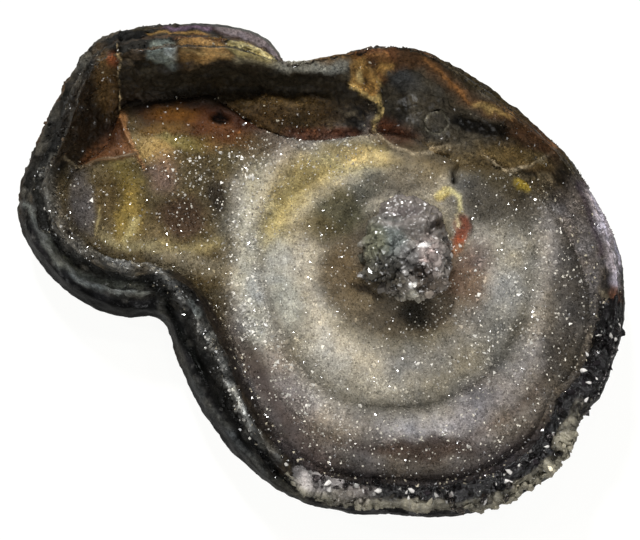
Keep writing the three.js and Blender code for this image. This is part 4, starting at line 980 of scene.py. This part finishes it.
# name, kind of node, its settings, its fixed inputs
crystalParts = [
    ("cover", "GeometryNodeInputNamedAttribute", {"data_type": "FLOAT"}, {}),
    ("scatter", "GeometryNodeDistributePointsOnFaces", {"distribute_method": "POISSON"}, {}),
    ("shape", "GeometryNodeObjectInfo", {}, {}),
    ("size", "FunctionNodeRandomValue", {"data_type": "FLOAT"}, {}),
    ("power", "ShaderNodeMath", {"operation": "POWER"}, {1: 1.6}),  # more small crystals than large ones
    ("span", "ShaderNodeMapRange", {}, {}),
    ("turn", "FunctionNodeRandomValue", {"data_type": "FLOAT_VECTOR"}, {}),
    ("low", "ShaderNodeCombineXYZ", {}, {}),
    ("high", "ShaderNodeCombineXYZ", {}, {"Z": 6.28}),
    ("minus", "ShaderNodeMath", {"operation": "MULTIPLY"}, {1: -1}),
    ("euler", "FunctionNodeEulerToRotation", {}, {}),
    ("spin", "FunctionNodeRotateRotation", {"rotation_space": "LOCAL"}, {}),
    ("luck", "FunctionNodeRandomValue", {"data_type": "FLOAT"}, {}),
    ("keep", "GeometryNodeStoreNamedAttribute", {"data_type": "FLOAT", "domain": "POINT"}, {"Name": "luck"}),
    ("place", "GeometryNodeInstanceOnPoints", {}, {}),
    ("real", "GeometryNodeRealizeInstances", {}, {}),
    ("finish", "GeometryNodeSetMaterial", {}, {}),
]
# from an output of one node to an input of another
crystalLinks = [
    ("given", "Surface", "scatter", "Mesh"), ("given", "Cover", "cover", "Name"),
    ("cover", "Attribute", "scatter", "Density Factor"), ("given", "Spacing", "scatter", "Distance Min"),
    ("given", "Density", "scatter", "Density Max"), ("given", "Seed", "scatter", "Seed"),
    ("given", "Crystal", "shape", "Object"), ("size", 1, "power", 0), ("power", 0, "span", "Value"),
    ("given", "Smallest", "span", "To Min"), ("given", "Largest", "span", "To Max"),
    ("given", "Seed", "size", "Seed"),
    ("given", "Lean", "minus", 0), ("minus", 0, "low", "X"), ("given", "Lean", "high", "X"),
    ("minus", 0, "low", "Y"),
    ("given", "Lean", "high", "Y"), ("low", 0, "turn", 0), ("high", 0, "turn", 1),
    ("given", "Seed", "turn", "Seed"),
    ("turn", 0, "euler", 0), ("scatter", "Rotation", "spin", 0), ("euler", 0, "spin", 1),
    ("scatter", "Points", "keep", "Geometry"), ("luck", 1, "keep", "Value"), ("keep", 0, "place", "Points"),
    ("shape", "Geometry", "place", "Instance"), ("spin", 0, "place", "Rotation"),
    ("span", 0, "place", "Scale"),
    ("place", 0, "real", 0), ("real", 0, "finish", "Geometry"), ("given", "Finish", "finish", "Material"),
    ("finish", 0, "made", 0),
]


def crystalTree():
    tree = bpy.data.node_groups.new("crystalsOnSurface", "GeometryNodeTree")
    for name, kind, value in crystalInputs:
        socket = tree.interface.new_socket(name, in_out="INPUT", socket_type="NodeSocket" + kind)
        if value is not None:
            socket.default_value = value
    tree.interface.new_socket("Crystals", in_out="OUTPUT", socket_type="NodeSocketGeometry")
    parts = {"given": tree.nodes.new("NodeGroupInput"), "made": tree.nodes.new("NodeGroupOutput")}
    for name, kind, settings, fixed in crystalParts:
        parts[name] = tree.nodes.new(kind)
        for key, value in settings.items():
            setattr(parts[name], key, value)
        for key, value in fixed.items():
            parts[name].inputs[key].default_value = value
    for source, output, target, socket in crystalLinks:
        tree.links.new(parts[source].outputs[output], parts[target].inputs[socket])
    return tree


crystalNodes = crystalTree()


def growCrystals(name, surface, crystal, finish, **settings):
    grown = bpy.data.objects.new(name, surface.data.copy())
    bpy.context.scene.collection.objects.link(grown)
    modifier = grown.modifiers.new("crystals", "NODES")
    modifier.node_group = crystalNodes
    items = crystalNodes.interface.items_tree
    sockets = {item.name: item.identifier for item in items if item.in_out == "INPUT"}
    modifier[sockets["Crystal"]] = crystal
    modifier[sockets["Finish"]] = finish
    for key, value in settings.items():
        modifier[sockets[key]] = value
    graph = bpy.context.evaluated_depsgraph_get()
    mesh = bpy.data.meshes.new_from_object(grown.evaluated_get(graph), preserve_all_data_layers=True,
                                           depsgraph=graph)
    grown.modifiers.remove(modifier)
    grown.data = mesh
    mesh.name = name
    print(name + ":", len(mesh.polygons), "faces")
    return grown


# materials

def addNode(tree, kind, settings=None, **values):
    made = tree.nodes.new("ShaderNode" + kind)
    for key, value in (settings or {}).items():
        setattr(made, key, value)
    for key, value in values.items():
        made.inputs[key.replace("_", " ")].default_value = value
    return made


def feed(tree, socket, source):  # a link from another socket, or else a plain value
    if isinstance(source, bpy.types.NodeSocket):
        tree.links.new(source, socket)
    else:
        socket.default_value = source


def times(tree, a, b):
    made = addNode(tree, "Math", {"operation": "MULTIPLY"})
    feed(tree, made.inputs[0], a)
    feed(tree, made.inputs[1], b)
    return made.outputs[0]


def spread(tree, value, low, high, outLow, outHigh):
    made = addNode(tree, "MapRange", None, From_Min=low, From_Max=high, To_Min=outLow, To_Max=outHigh)
    tree.links.new(value, made.inputs["Value"])
    return made.outputs[0]


def shade(tree, colour, value):  # a colour made lighter or darker
    made = addNode(tree, "VectorMath", {"operation": "SCALE"})
    feed(tree, made.inputs[0], colour)
    tree.links.new(value, made.inputs["Scale"])
    return made.outputs[0]


def blendColours(tree, a, b, mask):
    made = addNode(tree, "Mix", {"data_type": "RGBA"})
    for socket, source in ((made.inputs[6], a), (made.inputs[7], b), (made.inputs[0], mask)):
        tree.links.new(source, socket)
    return made.outputs[2]


def stoneGrainGroup():  # patches, grain and height, from two sizes of noise
    group = bpy.data.node_groups.new("stoneGrain", "ShaderNodeTree")
    for name, kind in (("Patch Size", "NodeSocketFloat"), ("Grain Size", "NodeSocketFloat")):
        group.interface.new_socket(name, in_out="INPUT", socket_type=kind)
    for name in ("Patches", "Grain", "Height"):
        group.interface.new_socket(name, in_out="OUTPUT", socket_type="NodeSocketFloat")
    source, out = group.nodes.new("NodeGroupInput"), group.nodes.new("NodeGroupOutput")
    where = addNode(group, "TexCoord")
    found = []
    for size, detail, rough in (("Patch Size", 4, 0.6), ("Grain Size", 5, 0.7)):
        scale = addNode(group, "Math", {"operation": "DIVIDE"})
        scale.inputs[0].default_value = 1
        group.links.new(source.outputs[size], scale.inputs[1])
        texture = addNode(group, "TexNoise", None, Detail=detail, Roughness=rough)
        group.links.new(where.outputs["Object"], texture.inputs["Vector"])
        group.links.new(scale.outputs[0], texture.inputs["Scale"])
        found.append(texture.outputs["Fac"])
    group.links.new(spread(group, found[0], 0.35, 0.65, 0, 1), out.inputs["Patches"])
    group.links.new(spread(group, found[1], 0.3, 0.7, 0, 1), out.inputs["Grain"])
    both = addNode(group, "Math", {"operation": "ADD"})
    group.links.new(times(group, found[0], 0.5), both.inputs[0])
    group.links.new(found[1], both.inputs[1])
    group.links.new(both.outputs[0], out.inputs["Height"])
    return group


stoneGrain = stoneGrainGroup()


def newMaterial(name, **values):
    material = bpy.data.materials.new(name)
    material.use_nodes = True
    shader = material.node_tree.nodes["Principled BSDF"]
    for key, value in values.items():
        shader.inputs[key.replace("_", " ")].default_value = value
    return material, material.node_tree, shader


def grainIn(tree, patchSize, grainSize):
    grain = tree.nodes.new("ShaderNodeGroup")
    grain.node_tree = stoneGrain
    grain.inputs["Patch Size"].default_value = patchSize * mm
    grain.inputs["Grain Size"].default_value = grainSize * mm
    return grain.outputs


def attribute(tree, name):
    made = addNode(tree, "Attribute", {"attribute_name": name})
    return made.outputs["Color" if name == "tone" else "Fac"]


def bump(tree, shader, height, depth):
    made = addNode(tree, "Bump", None, Distance=depth * mm, Strength=1.0)
    tree.links.new(height, made.inputs["Height"])
    tree.links.new(made.outputs[0], shader.inputs["Normal"])


def chalcedonyFinish():
    material, tree, shader = newMaterial("chalcedony", IOR=1.54, Specular_IOR_Level=0.09,
                                         Coat_Roughness=0.08, Coat_IOR=1.6)
    grain = grainIn(tree, 1.4, 0.35)
    fine = grainIn(tree, 0.5, 0.16)
    polish = attribute(tree, "polish")
    tone = shade(tree, attribute(tree, "tone"), spread(tree, grain["Grain"], 0.1, 0.9, 0.4, 1.6))
    tone = shade(tree, tone, spread(tree, fine["Grain"], 0.2, 0.9, 0.72, 1.4))
    tree.links.new(tone, shader.inputs["Base Color"])
    gritty = spread(tree, fine["Grain"], 0, 1, 0.2, 0.6)
    glossy = spread(tree, grain["Patches"], 0, 1, 0.14, 0.3)
    rough = blendColours(tree, gritty, glossy, polish)
    tree.links.new(rough, shader.inputs["Roughness"])
    tree.links.new(attribute(tree, "gloss"), shader.inputs["Coat Weight"])
    depth = spread(tree, polish, 0, 1, 1, 0.3)
    bump(tree, shader, times(tree, grain["Height"], depth), 0.12)
    return material


def druseBedFinish():
    material, tree, shader = newMaterial("druseSugar", IOR=1.54, Specular_IOR_Level=0.12)
    grain = grainIn(tree, 0.9, 0.22)
    tone = shade(tree, attribute(tree, "tone"), spread(tree, grain["Grain"], 0, 1, 0.6, 1.35))
    tree.links.new(tone, shader.inputs["Base Color"])
    tree.links.new(spread(tree, grain["Patches"], 0, 1, 0.3, 0.55), shader.inputs["Roughness"])
    bump(tree, shader, grain["Height"], 0.12)
    return material


def crystalFinish(name, low, high, glintShare, glintTone, roughness, shine):
    material, tree, shader = newMaterial(name, IOR=1.54, Specular_IOR_Level=shine)
    luck = attribute(tree, "luck")
    grain = grainIn(tree, 0.5, 0.12)
    tone = shade(tree, attribute(tree, "tone"), spread(tree, luck, 0, 1, low, high))
    tone = shade(tree, tone, spread(tree, grain["Patches"], 0, 1, 0.72, 1.3))
    # a share of the crystals, set by the bright attribute, gets a near-white colour: painted glints, partly
    # also white frosted crystals
    chosen = addNode(tree, "Math", {"operation": "GREATER_THAN"})
    share = spread(tree, attribute(tree, "bright"), 0, 1, 1, 1 - glintShare)
    tree.links.new(luck, chosen.inputs[0])
    tree.links.new(share, chosen.inputs[1])
    part = addNode(tree, "Math", {"operation": "FRACT"})
    tree.links.new(times(tree, luck, 61.7), part.inputs[0])
    sparkle = shade(tree, ink(*glintTone), spread(tree, part.outputs[0], 0, 1, 0.22, 1.0))
    tree.links.new(blendColours(tree, tone, sparkle, chosen.outputs[0]), shader.inputs["Base Color"])
    tree.links.new(spread(tree, grain["Patches"], 0, 1, roughness * 0.6, roughness * 1.6),
                   shader.inputs["Roughness"])
    return material


def clearFinish():
    material, tree, shader = newMaterial("clearQuartz", IOR=1.545, Transmission_Weight=1.0,
                                         Base_Color=(0.78, 0.75, 0.76, 1))
    grain = grainIn(tree, 0.7, 0.2)
    tree.links.new(spread(tree, grain["Patches"], 0, 1, 0.02, 0.12), shader.inputs["Roughness"])
    volume = addNode(tree, "VolumeAbsorption", None, Color=(0.55, 0.5, 0.52, 1), Density=1500)
    tree.links.new(volume.outputs[0], tree.nodes["Material Output"].inputs["Volume"])
    return material


def cloudyFinish():
    material, tree, shader = newMaterial("cloudyQuartz", IOR=1.545, Transmission_Weight=0.25,
                                         Specular_IOR_Level=0.25)
    grain = grainIn(tree, 0.8, 0.18)
    tone = shade(tree, attribute(tree, "tone"), spread(tree, grain["Grain"], 0, 1, 0.65, 1.3))
    tree.links.new(tone, shader.inputs["Base Color"])
    tree.links.new(spread(tree, grain["Patches"], 0, 1, 0.1, 0.35), shader.inputs["Roughness"])
    bump(tree, shader, grain["Height"], 0.1)
    return material


chalcedony = chalcedonyFinish()
druseSugar = druseBedFinish()
druseCrystal = crystalFinish("druseCrystal", 0.62, 1.45, 0.16, (240, 233, 218), 0.07, 0.35)
druseLargeCrystal = crystalFinish("druseLargeCrystal", 1.0, 2.6, 0.55, (250, 245, 234), 0.06, 0.6)
gritCrystal = crystalFinish("gritCrystal", 0.5, 1.9, 0.08, (200, 190, 168), 0.1, 0.3)
knobQuartz = crystalFinish("knobQuartz", 0.75, 1.3, 0.015, (236, 230, 224), 0.12, 0.5)
clearQuartz = clearFinish()
crustQuartz = cloudyFinish()
# mostly white crystals on the rim's dark zone, standing in for the glints there: painted highlights
glintQuartz = crystalFinish("glintQuartz", 1.5, 6.0, 0.6, (244, 240, 234), 0.1, 0.6)
beadStone = crystalFinish("beadStone", 0.5, 2.2, 0.22, (190, 187, 180), 0.08, 0.6)


def dress(piece, material, slot, *nodes):
    piece.data.materials.clear()
    piece.data.materials.append(material)
    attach(piece, "root")
    if nodes:
        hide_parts(*nodes)


# the knob

knob.update({
    "middle": (8.5, 0.9),
    "half": (4.65, 4.75),
    "back": 1.38,  # how much further it reaches behind, where it is lower
    "height": 5.4,
    "foot": 8.6,
    "columns": 340,
    "rows": 130,
    "squareness": 2.4,
    "undercut": 8,  # degrees below level
    "sunk": 0.4,
    # noise: size in mm, octaves, seed, then slanting blocks: size in mm, seed
    "masses": (3.2, 3, 91),
    "folds": (2.4, 3, 95),
    "creases": (1.3, 3, 94),
    "blocks": (1.9, 96),
    "chips": (0.8, 97),
    "bits": (0.4, 98),
    "tone": (124, 118, 112),
    "stains": [
        ((8.4, 6.0, 4.6, 2.6, 0), (146, 138, 132), 0.9, 0.4),
        ((7.0, 2.8, 1.8, 2.1, 10), (110, 118, 114), 0.85, 0.5),
        ((8.6, 5.5, 1.5, 0.6, 0), (112, 104, 102), 0.75, 0.5),
        (([(5.8, 4.4), (8.0, 4.1), (10.6, 4.5)], 0.32), (182, 174, 168), 0.75, 0.3),
        ((5.4, 2.0, 1.2, 2.6, 0), (126, 126, 104), 0.85, 0.5),
        ((10.0, 3.6, 1.6, 1.0, 0), (120, 114, 108), 0.8, 0.5),
        ((10.9, 1.2, 1.1, 2.0, 0), (184, 170, 164), 0.8, 0.5),
        ((8.8, 0.9, 1.4, 1.2, 0), (112, 110, 108), 0.8, 0.5),
        ((6.4, 0.0, 1.6, 0.9, 0), (98, 96, 88), 0.85, 0.5),
        # dark in the front hollow: painted shade
        ((7.2, -1.4, 1.5, 1.0, -20), (64, 59, 49), 0.88, 0.5),
        ((5.4, -1.0, 1.2, 0.8, 0), (92, 88, 78), 0.8, 0.5),
        # dark in a dent: painted shade
        ((10.1, -0.7, 1.0, 0.9, 0), (56, 46, 38), 0.9, 0.5),
        ((11.0, -1.9, 1.6, 0.9, 20), (104, 92, 80), 0.85, 0.5),
        ((8.6, -3.2, 2.2, 0.6, 0), (146, 140, 126), 0.85, 0.5),
        # dark in a dent: painted shade
        ((11.7, 4.3, 0.9, 0.5, 0), (58, 48, 42), 0.9, 0.5),
        # pure white spots on the blocks: painted highlights
        ((8.35, -0.2, 0.42, 0.36, 20), (255, 252, 248), 1.0, 0.3),
        ((9.15, -1.9, 0.46, 0.28, 20), (255, 252, 246), 1.0, 0.3),
        ((10.5, 2.15, 0.7, 0.26, 8), (255, 250, 246), 1.0, 0.3),
        ((9.3, -2.7, 0.5, 0.45, 0), (186, 182, 168), 0.9, 0.5),
        ((11.2, 1.5, 0.4, 0.5, 0), (226, 206, 198), 0.9, 0.5),
        ((11.0, 0.6, 0.8, 0.25, 0), (212, 192, 186), 0.85, 0.5),
    ],
    "gaps": [(7.4, -1.2, 1.1, 0.18), (10.1, -0.6, 0.7, 0.18), (11.7, 4.3, 0.6, 0.14), (5.4, -2.2, 0.9, 0.2),
             (8.9, -1.3, 0.35, 0.08)],
})


def makeKnobCore():
    turn = np.linspace(0, 2 * math.pi, knob["columns"], endpoint=False)[None, :]
    rise = np.linspace(90, -knob["undercut"], knob["rows"])[:, None] * math.pi / 180
    out = np.stack([np.cos(rise) * np.cos(turn), np.cos(rise) * np.sin(turn),
                    np.sin(rise) + 0 * turn], axis=-1)
    power = knob["squareness"]
    squared = out / (np.abs(out) ** power).sum(axis=-1, keepdims=True) ** (1 / power)
    behind = smooth(squared[..., 1], 0.1, 0.9)
    size = np.stack([knob["half"][0] + 0 * behind, knob["half"][1] * (1 + (knob["back"] - 1) * behind),
                     knob["height"] * (1 - 0.45 * behind)], axis=-1)
    base = squared * size
    bx, by, bz = (base[..., k] for k in range(3))
    where = base + np.array([*knob["middle"], knob["foot"]])
    sx, sy = seen(where[..., 0], where[..., 1], where[..., 2])
    front = 1 - smooth(sy, 2.2, 4.4)
    masses = fractal(bx, by, bz, *knob["masses"])
    folds = np.abs(fractal(bx, 1.8 * by, bz, *knob["folds"]))
    blocks, pick, gaps = facets(bx, by, bz, *knob["blocks"])
    chips, chipPick, chipGaps = facets(bx, by, bz, *knob["chips"])
    bits, _, _ = facets(bx, by, bz, *knob["bits"])
    # dents in the front, which are also painted darker below as painted shade
    gap = sum(depth * bell(np.hypot(sx - gx, sy - gy), spread) for gx, gy, spread, depth in knob["gaps"])
    reach = 0.94 + 0.1 * masses - 0.3 * folds * (1 - front) + (0.02 + 0.075 * front) * blocks
    creases = np.abs(fractal(bx, 1.3 * by, bz, *knob["creases"]))
    reach = reach - 0.08 * creases * (1 - front) + (0.012 + 0.035 * front) * chips + 0.012 * bits - gap
    reach = reach - 0.05 * front * (1 - gaps)
    grid = base * reach[..., None] + np.array([*knob["middle"], knob["foot"]])
    floor = grid[-1:].copy()
    floor[..., 2] = knob["foot"] - knob["sunk"]
    centre = np.broadcast_to(np.array([*knob["middle"], knob["foot"] - knob["sunk"]]), floor.shape)
    grid = np.concatenate([grid, floor, centre])
    x, y = seen(grid[..., 0], grid[..., 1], grid[..., 2])
    tone = paint(x, y, np.broadcast_to(ink(*knob["tone"]), grid.shape), knob["stains"], 0.35)
    deep = np.ones(grid.shape[:2])
    # lighter or darker per block at random, with painted shade in the joins between blocks, in the dents and
    # along the folds
    blockToneAndShade = 0.35 * pick + 0.2 * chipPick - 0.35 * (1 - gaps) - 0.2 * (1 - chipGaps)
    foldShade = 0.4 * (1 - smooth(folds, 0.0, 0.1)) + 0.14 * (1 - smooth(creases, 0.0, 0.08))
    deep[:-2] = 1 - 1.2 * gap + front * blockToneAndShade - (1 - front) * foldShade
    cloudy = 1 + 0.35 * fractal(x, y, grid[..., 2], 0.9, 4, 99)
    pale = smooth(tone.mean(axis=-1), 0.6, 0.8)
    tone = np.clip(tone * (deep * cloudy * (1 - pale) + pale)[..., None], 0, 1)
    cover = np.ones(grid.shape[:2])
    cover[-2:] = 0
    cover[:-2] *= 0.1 + 0.9 * front
    blocky = cover * (1 - smooth(y, 1.0, 3.6))
    fields = {"tone": tone, "bright": 0 * cover + 1, "cover": cover, "blocks": blocky}
    return buildMesh("knobCore", grid, fields)


knobCore = makeKnobCore()


# the glassy crust along the rim

rim = {
    "inside": 0.35,  # share of the wall where it starts
    "outside": 0.66,  # share of the slope where it ends
    "thickness": 0.2,
    "knobs": 0.85,
    "blocks": (2.4, 101),  # slanting blocks: size in mm, seed
    "chips": (0.7, 102),
    "sink": 0.12,  # how far its underside is sunk in the shell
    "innerTone": (19, 16, 18),
    "outerTone": (176, 169, 148),
    "widePale": (8.0, 9.6, 0.1),  # stations over which the pale lumps reach further in, and how far
    "paleEnds": (11.2, 12.6),  # stations over which its pale outer lumps give way to the dark edge
    "bareFoot": (0.8, 6.8, 8.2),  # its end at the front left, and the stations over which that grows to 1
    "stains": [((0.0, -20.9, 2.4, 1.5, -10), (210, 202, 198), 0.9, 0.3),
               ((3.4, -22.6, 2.0, 0.9, 0), (186, 176, 168), 0.7, 0.4)],
}


def makeRimCrust():
    first, last = shell["pointStations"]
    columns = np.flatnonzero((shellStation >= first - 0.4) & (shellStation <= last + 0.4))
    onWall = (shellZone[:, 0] == 1) & (shellShare[:, 0] >= rim["inside"])
    onSlope = (shellZone[:, 0] == 2) & (shellShare[:, 0] <= rim["outside"])
    rows = np.flatnonzero(onWall | onSlope)
    normal = gridNormals(shellGrid)[np.ix_(rows, columns)]
    base = shellGrid[np.ix_(rows, columns)]
    x, y, z = (base[..., k] for k in range(3))
    station = shellStation[columns]
    ends = stretch(station, (first - 0.4, first + 0.8), (last - 1.0, last + 0.4))
    across = np.linspace(0, 1, len(rows))[:, None]
    short, grows, grown = rim["bareFoot"]
    end = short + (1 - short) * smooth(station, grows, grown)
    sides = stretch(across, (0, 0.3), (end - 0.14, end))
    blocks, pick, gaps = facets(x, y, z, *rim["blocks"])
    chips, _, chipGaps = facets(x, y, z, *rim["chips"])
    knobs = 0.55 + 0.6 * blocks + 0.12 * chips - 0.45 * (1 - gaps)
    pale = 1 - smooth(station + 0.6 * noise(x, y, z, 2.0, 105), *rim["paleEnds"])
    wideFrom, wideTo, wider = rim["widePale"]
    shift = 0.12 * (1 - smooth(station, grows, grown)) + wider * smooth(station, wideFrom, wideTo)
    outward = smooth(across + shift + 0.14 * noise(x, y, z, 1.6, 104), 0.47, 0.63) * pale
    knobs = knobs * (0.3 + 0.7 * pale)
    full = ends * sides * (rim["thickness"] + rim["knobs"] * np.maximum(knobs, 0) * (0.45 + 0.55 * outward)
                           + 0.05 * fractal(x, y, z, 0.4, 3, 103))
    above = base + normal * (full - rim["sink"] * 0.2)[..., None]
    below = base - normal * rim["sink"]
    thin = (ends * sides)[..., None] < 1e-6
    above = np.where(thin, below, above)
    ring = np.concatenate([above, below[::-1]]).transpose(1, 0, 2)[::-1]
    sx, sy = seen(*(ring[..., k] for k in range(3)))
    both = np.concatenate([outward, outward[::-1]]).transpose(1, 0)[::-1]
    # darker between the lumps, where they dip in: painted shade; with a random tone for each lump
    cracks = gaps * (0.4 + 0.6 * chipGaps) * (1 + 0.35 * pick)
    cracks = np.concatenate([cracks, cracks[::-1]]).transpose(1, 0)[::-1]
    tone = laidOver(ink(*rim["innerTone"]), ink(*rim["outerTone"]), both)
    tone = paint(sx, sy, tone, rim["stains"], 0.5) * (0.25 + 0.75 * cracks[..., None])
    onTop = np.zeros(ring.shape[:2])
    onTop[:, :len(rows)] = 1
    cover = onTop * np.concatenate([ends * sides, (ends * sides)[::-1]]).transpose(1, 0)[::-1]
    fields = {"tone": np.clip(tone, 0, 1), "bright": onTop, "inner": cover * (1 - both),
              "outer": cover * both}
    return buildMesh("rimCrust", ring, fields)


rimCrust = makeRimCrust()
print("rim crust:", len(rimCrust.data.polygons), "faces")

fineCrystal = pyramidShape("fineCrystal", 4, 0.9, 0.2)
stubbyCrystal = crystalShape("stubbyCrystal", 0.5, 1.0, 0.35)
longCrystal = crystalShape("longCrystal", 0.9, 2.0, 0.25)
slimCrystal = crystalShape("slimCrystal", 0.9, 2.8, 0.4)
chunk = chunkShape("chunk", 5)

# piece, surface, crystal, finish, slot, cover, seed; spacing in mm, most on a mm2, smallest, largest, lean
growths = [
    ("druseInner", druseSurface, fineCrystal, druseCrystal, "druse", "inner", 3, 0.105, 75, 0.06, 0.16, 0.7),
    ("druseOuter", druseSurface, fineCrystal, druseCrystal, "druse", "outer", 4, 0.115, 75, 0.06, 0.2, 0.7),
    ("druseLarge", druseSurface, fineCrystal, druseLargeCrystal, "druse", "large", 15, 0.2, 22,
     0.1, 0.31, 0.9),
    ("wallGrit", stoneShell, fineCrystal, gritCrystal, "chalcedony", "grit", 5, 0.12, 50, 0.07, 0.22, 0.8),
    ("knobSmall", knobCore, chunk, knobQuartz, "knob_quartz", "cover", 6, 0.3, 4, 0.05, 0.2, 1.2),
    ("knobBlocks", knobCore, chunk, knobQuartz, "knob_quartz", "blocks", 8, 0.7, 0.9, 0.2, 0.6, 0.9),
    ("rimPoints", rimCrust, longCrystal, clearQuartz, "clear_quartz", "inner", 7, 0.45, 2.4, 0.12, 0.4, 0.8),
    ("rimSugar", rimCrust, stubbyCrystal, crustQuartz, "clear_quartz", "outer", 9, 0.4, 2.2, 0.08, 0.36, 0.9),
    ("rimMilky", rimCrust, slimCrystal, glintQuartz, "clear_quartz", "inner", 11, 0.45, 1.7, 0.05, 0.26, 1.3),
    ("rindBeads", stoneShell, chunk, beadStone, "chalcedony", "beads", 13, 0.26, 11, 0.06, 0.24, 1.2),
]
for name, surface, crystal, finish, slot, cover, seed, *sizes in growths:
    spacing, onSquareMm, smallest, largest, lean = sizes
    grown = growCrystals(name, surface, crystal, finish, Cover=cover, Seed=seed, Spacing=spacing * mm,
                         Density=onSquareMm * 1e6, Smallest=smallest * mm, Largest=largest * mm, Lean=lean)
    dress(grown, finish, slot)

dress(stoneShell, chalcedony, "chalcedony", "chalcedony_body")
dress(druseSurface, druseSugar, "druse", "druzy_crust")
dress(knobCore, knobQuartz, "knob_quartz", "crystal_knob")
dress(rimCrust, crustQuartz, "clear_quartz", "rim_crystals")
print("pieces dressed")


# floor, light and camera

studio = {
    "sky": (0.3, 0.1),  # light from the horizon and from overhead
    "skyHeights": (0.1, 0.75),  # heights between which it changes
    "backdrop": 0.93,
    "floorGlow": (0.16, 0.9),  # as the stone sees the floor, and as the camera does
    "floorReach": 2,  # half its width, in m
    "floorGap": 0.02,  # how far it lies below the stone, in mm
    "lamps": [  # name, direction from, elevation, distance in m, radius in m, power in W
        ("key", 104, 48, 0.6, 0.045, 3.4), ("fill", 285, 40, 0.6, 0.14, 1.8),
        ("sparkleLeft", 165, 56, 0.6, 0.018, 0.25), ("sparkleRight", 35, 60, 0.6, 0.018, 0.25),
        ("sparkleFront", 250, 62, 0.6, 0.018, 0.2), ("sparkleBack", 75, 68, 0.6, 0.018, 0.2),
    ],
}


def fromAbove(azimuth, elevation, distance):
    a, e = math.radians(azimuth), math.radians(elevation)
    return Vector((math.cos(a) * math.cos(e), math.sin(a) * math.cos(e), math.sin(e))) * distance


def makeSky():
    world = bpy.data.worlds.new("studioSky")
    bpy.context.scene.world = world
    world.use_nodes = True
    tree = world.node_tree
    where = addNode(tree, "TexCoord")
    parts = addNode(tree, "SeparateXYZ")
    tree.links.new(where.outputs["Generated"], parts.inputs[0])
    gradient = spread(tree, parts.outputs["Z"], *studio["skyHeights"], *studio["sky"])
    path = addNode(tree, "LightPath")
    strength = addNode(tree, "Mix", {"data_type": "FLOAT"})
    tree.links.new(path.outputs["Is Camera Ray"], strength.inputs[0])
    tree.links.new(gradient, strength.inputs[2])
    strength.inputs[3].default_value = studio["backdrop"]
    tree.links.new(strength.outputs[0], tree.nodes["Background"].inputs["Strength"])
    tree.nodes["Background"].inputs["Color"].default_value = (1, 1, 1, 1)


def makeFloor():
    reach = studio["floorReach"]
    mesh = bpy.data.meshes.new("floor")
    mesh.from_pydata([(-reach, -reach, 0), (reach, -reach, 0), (reach, reach, 0), (-reach, reach, 0)], [],
                     [(0, 1, 2, 3)])
    floor = bpy.data.objects.new("floor", mesh)
    bpy.context.scene.collection.objects.link(floor)
    floor.location.z = -studio["floorGap"] * mm
    material, tree, shader = newMaterial("whiteFloor", Base_Color=(0.14, 0.14, 0.13, 1), Roughness=0.9,
                                         Specular_IOR_Level=0.0, Emission_Color=(1, 1, 0.99, 1))
    path = addNode(tree, "LightPath")
    glow = spread(tree, path.outputs["Is Camera Ray"], 0, 1, *studio["floorGlow"])
    tree.links.new(glow, shader.inputs["Emission Strength"])
    mesh.materials.append(material)


def makeLamps(aim):
    for name, azimuth, elevation, distance, radius, power in studio["lamps"]:
        light = bpy.data.lights.new(name, "AREA")
        light.shape = "DISK"
        light.size = 2 * radius
        light.energy = power
        lamp = bpy.data.objects.new(name, light)
        lamp.location = aim + fromAbove(azimuth, elevation, distance)
        lamp.rotation_euler = (aim - lamp.location).to_track_quat("-Z", "Y").to_euler()
        bpy.context.scene.collection.objects.link(lamp)


def makeCamera(aim):
    lensData = bpy.data.cameras.new("camera")
    lensData.lens = view["lens"]
    lensData.clip_start = 0.005
    camera = bpy.data.objects.new("camera", lensData)
    camera.location = aim + fromAbove(-90, view["elevation"], view["distance"] * mm)
    camera.rotation_euler = (math.radians(90 - view["elevation"]), 0, 0)
    bpy.context.scene.collection.objects.link(camera)
    bpy.context.scene.camera = camera


bpy.context.scene.view_settings.view_transform = "Standard"
lookPoint = Vector(view["look"]) * mm
makeSky()
makeFloor()
makeLamps(lookPoint)
makeCamera(lookPoint)
print("studio made")
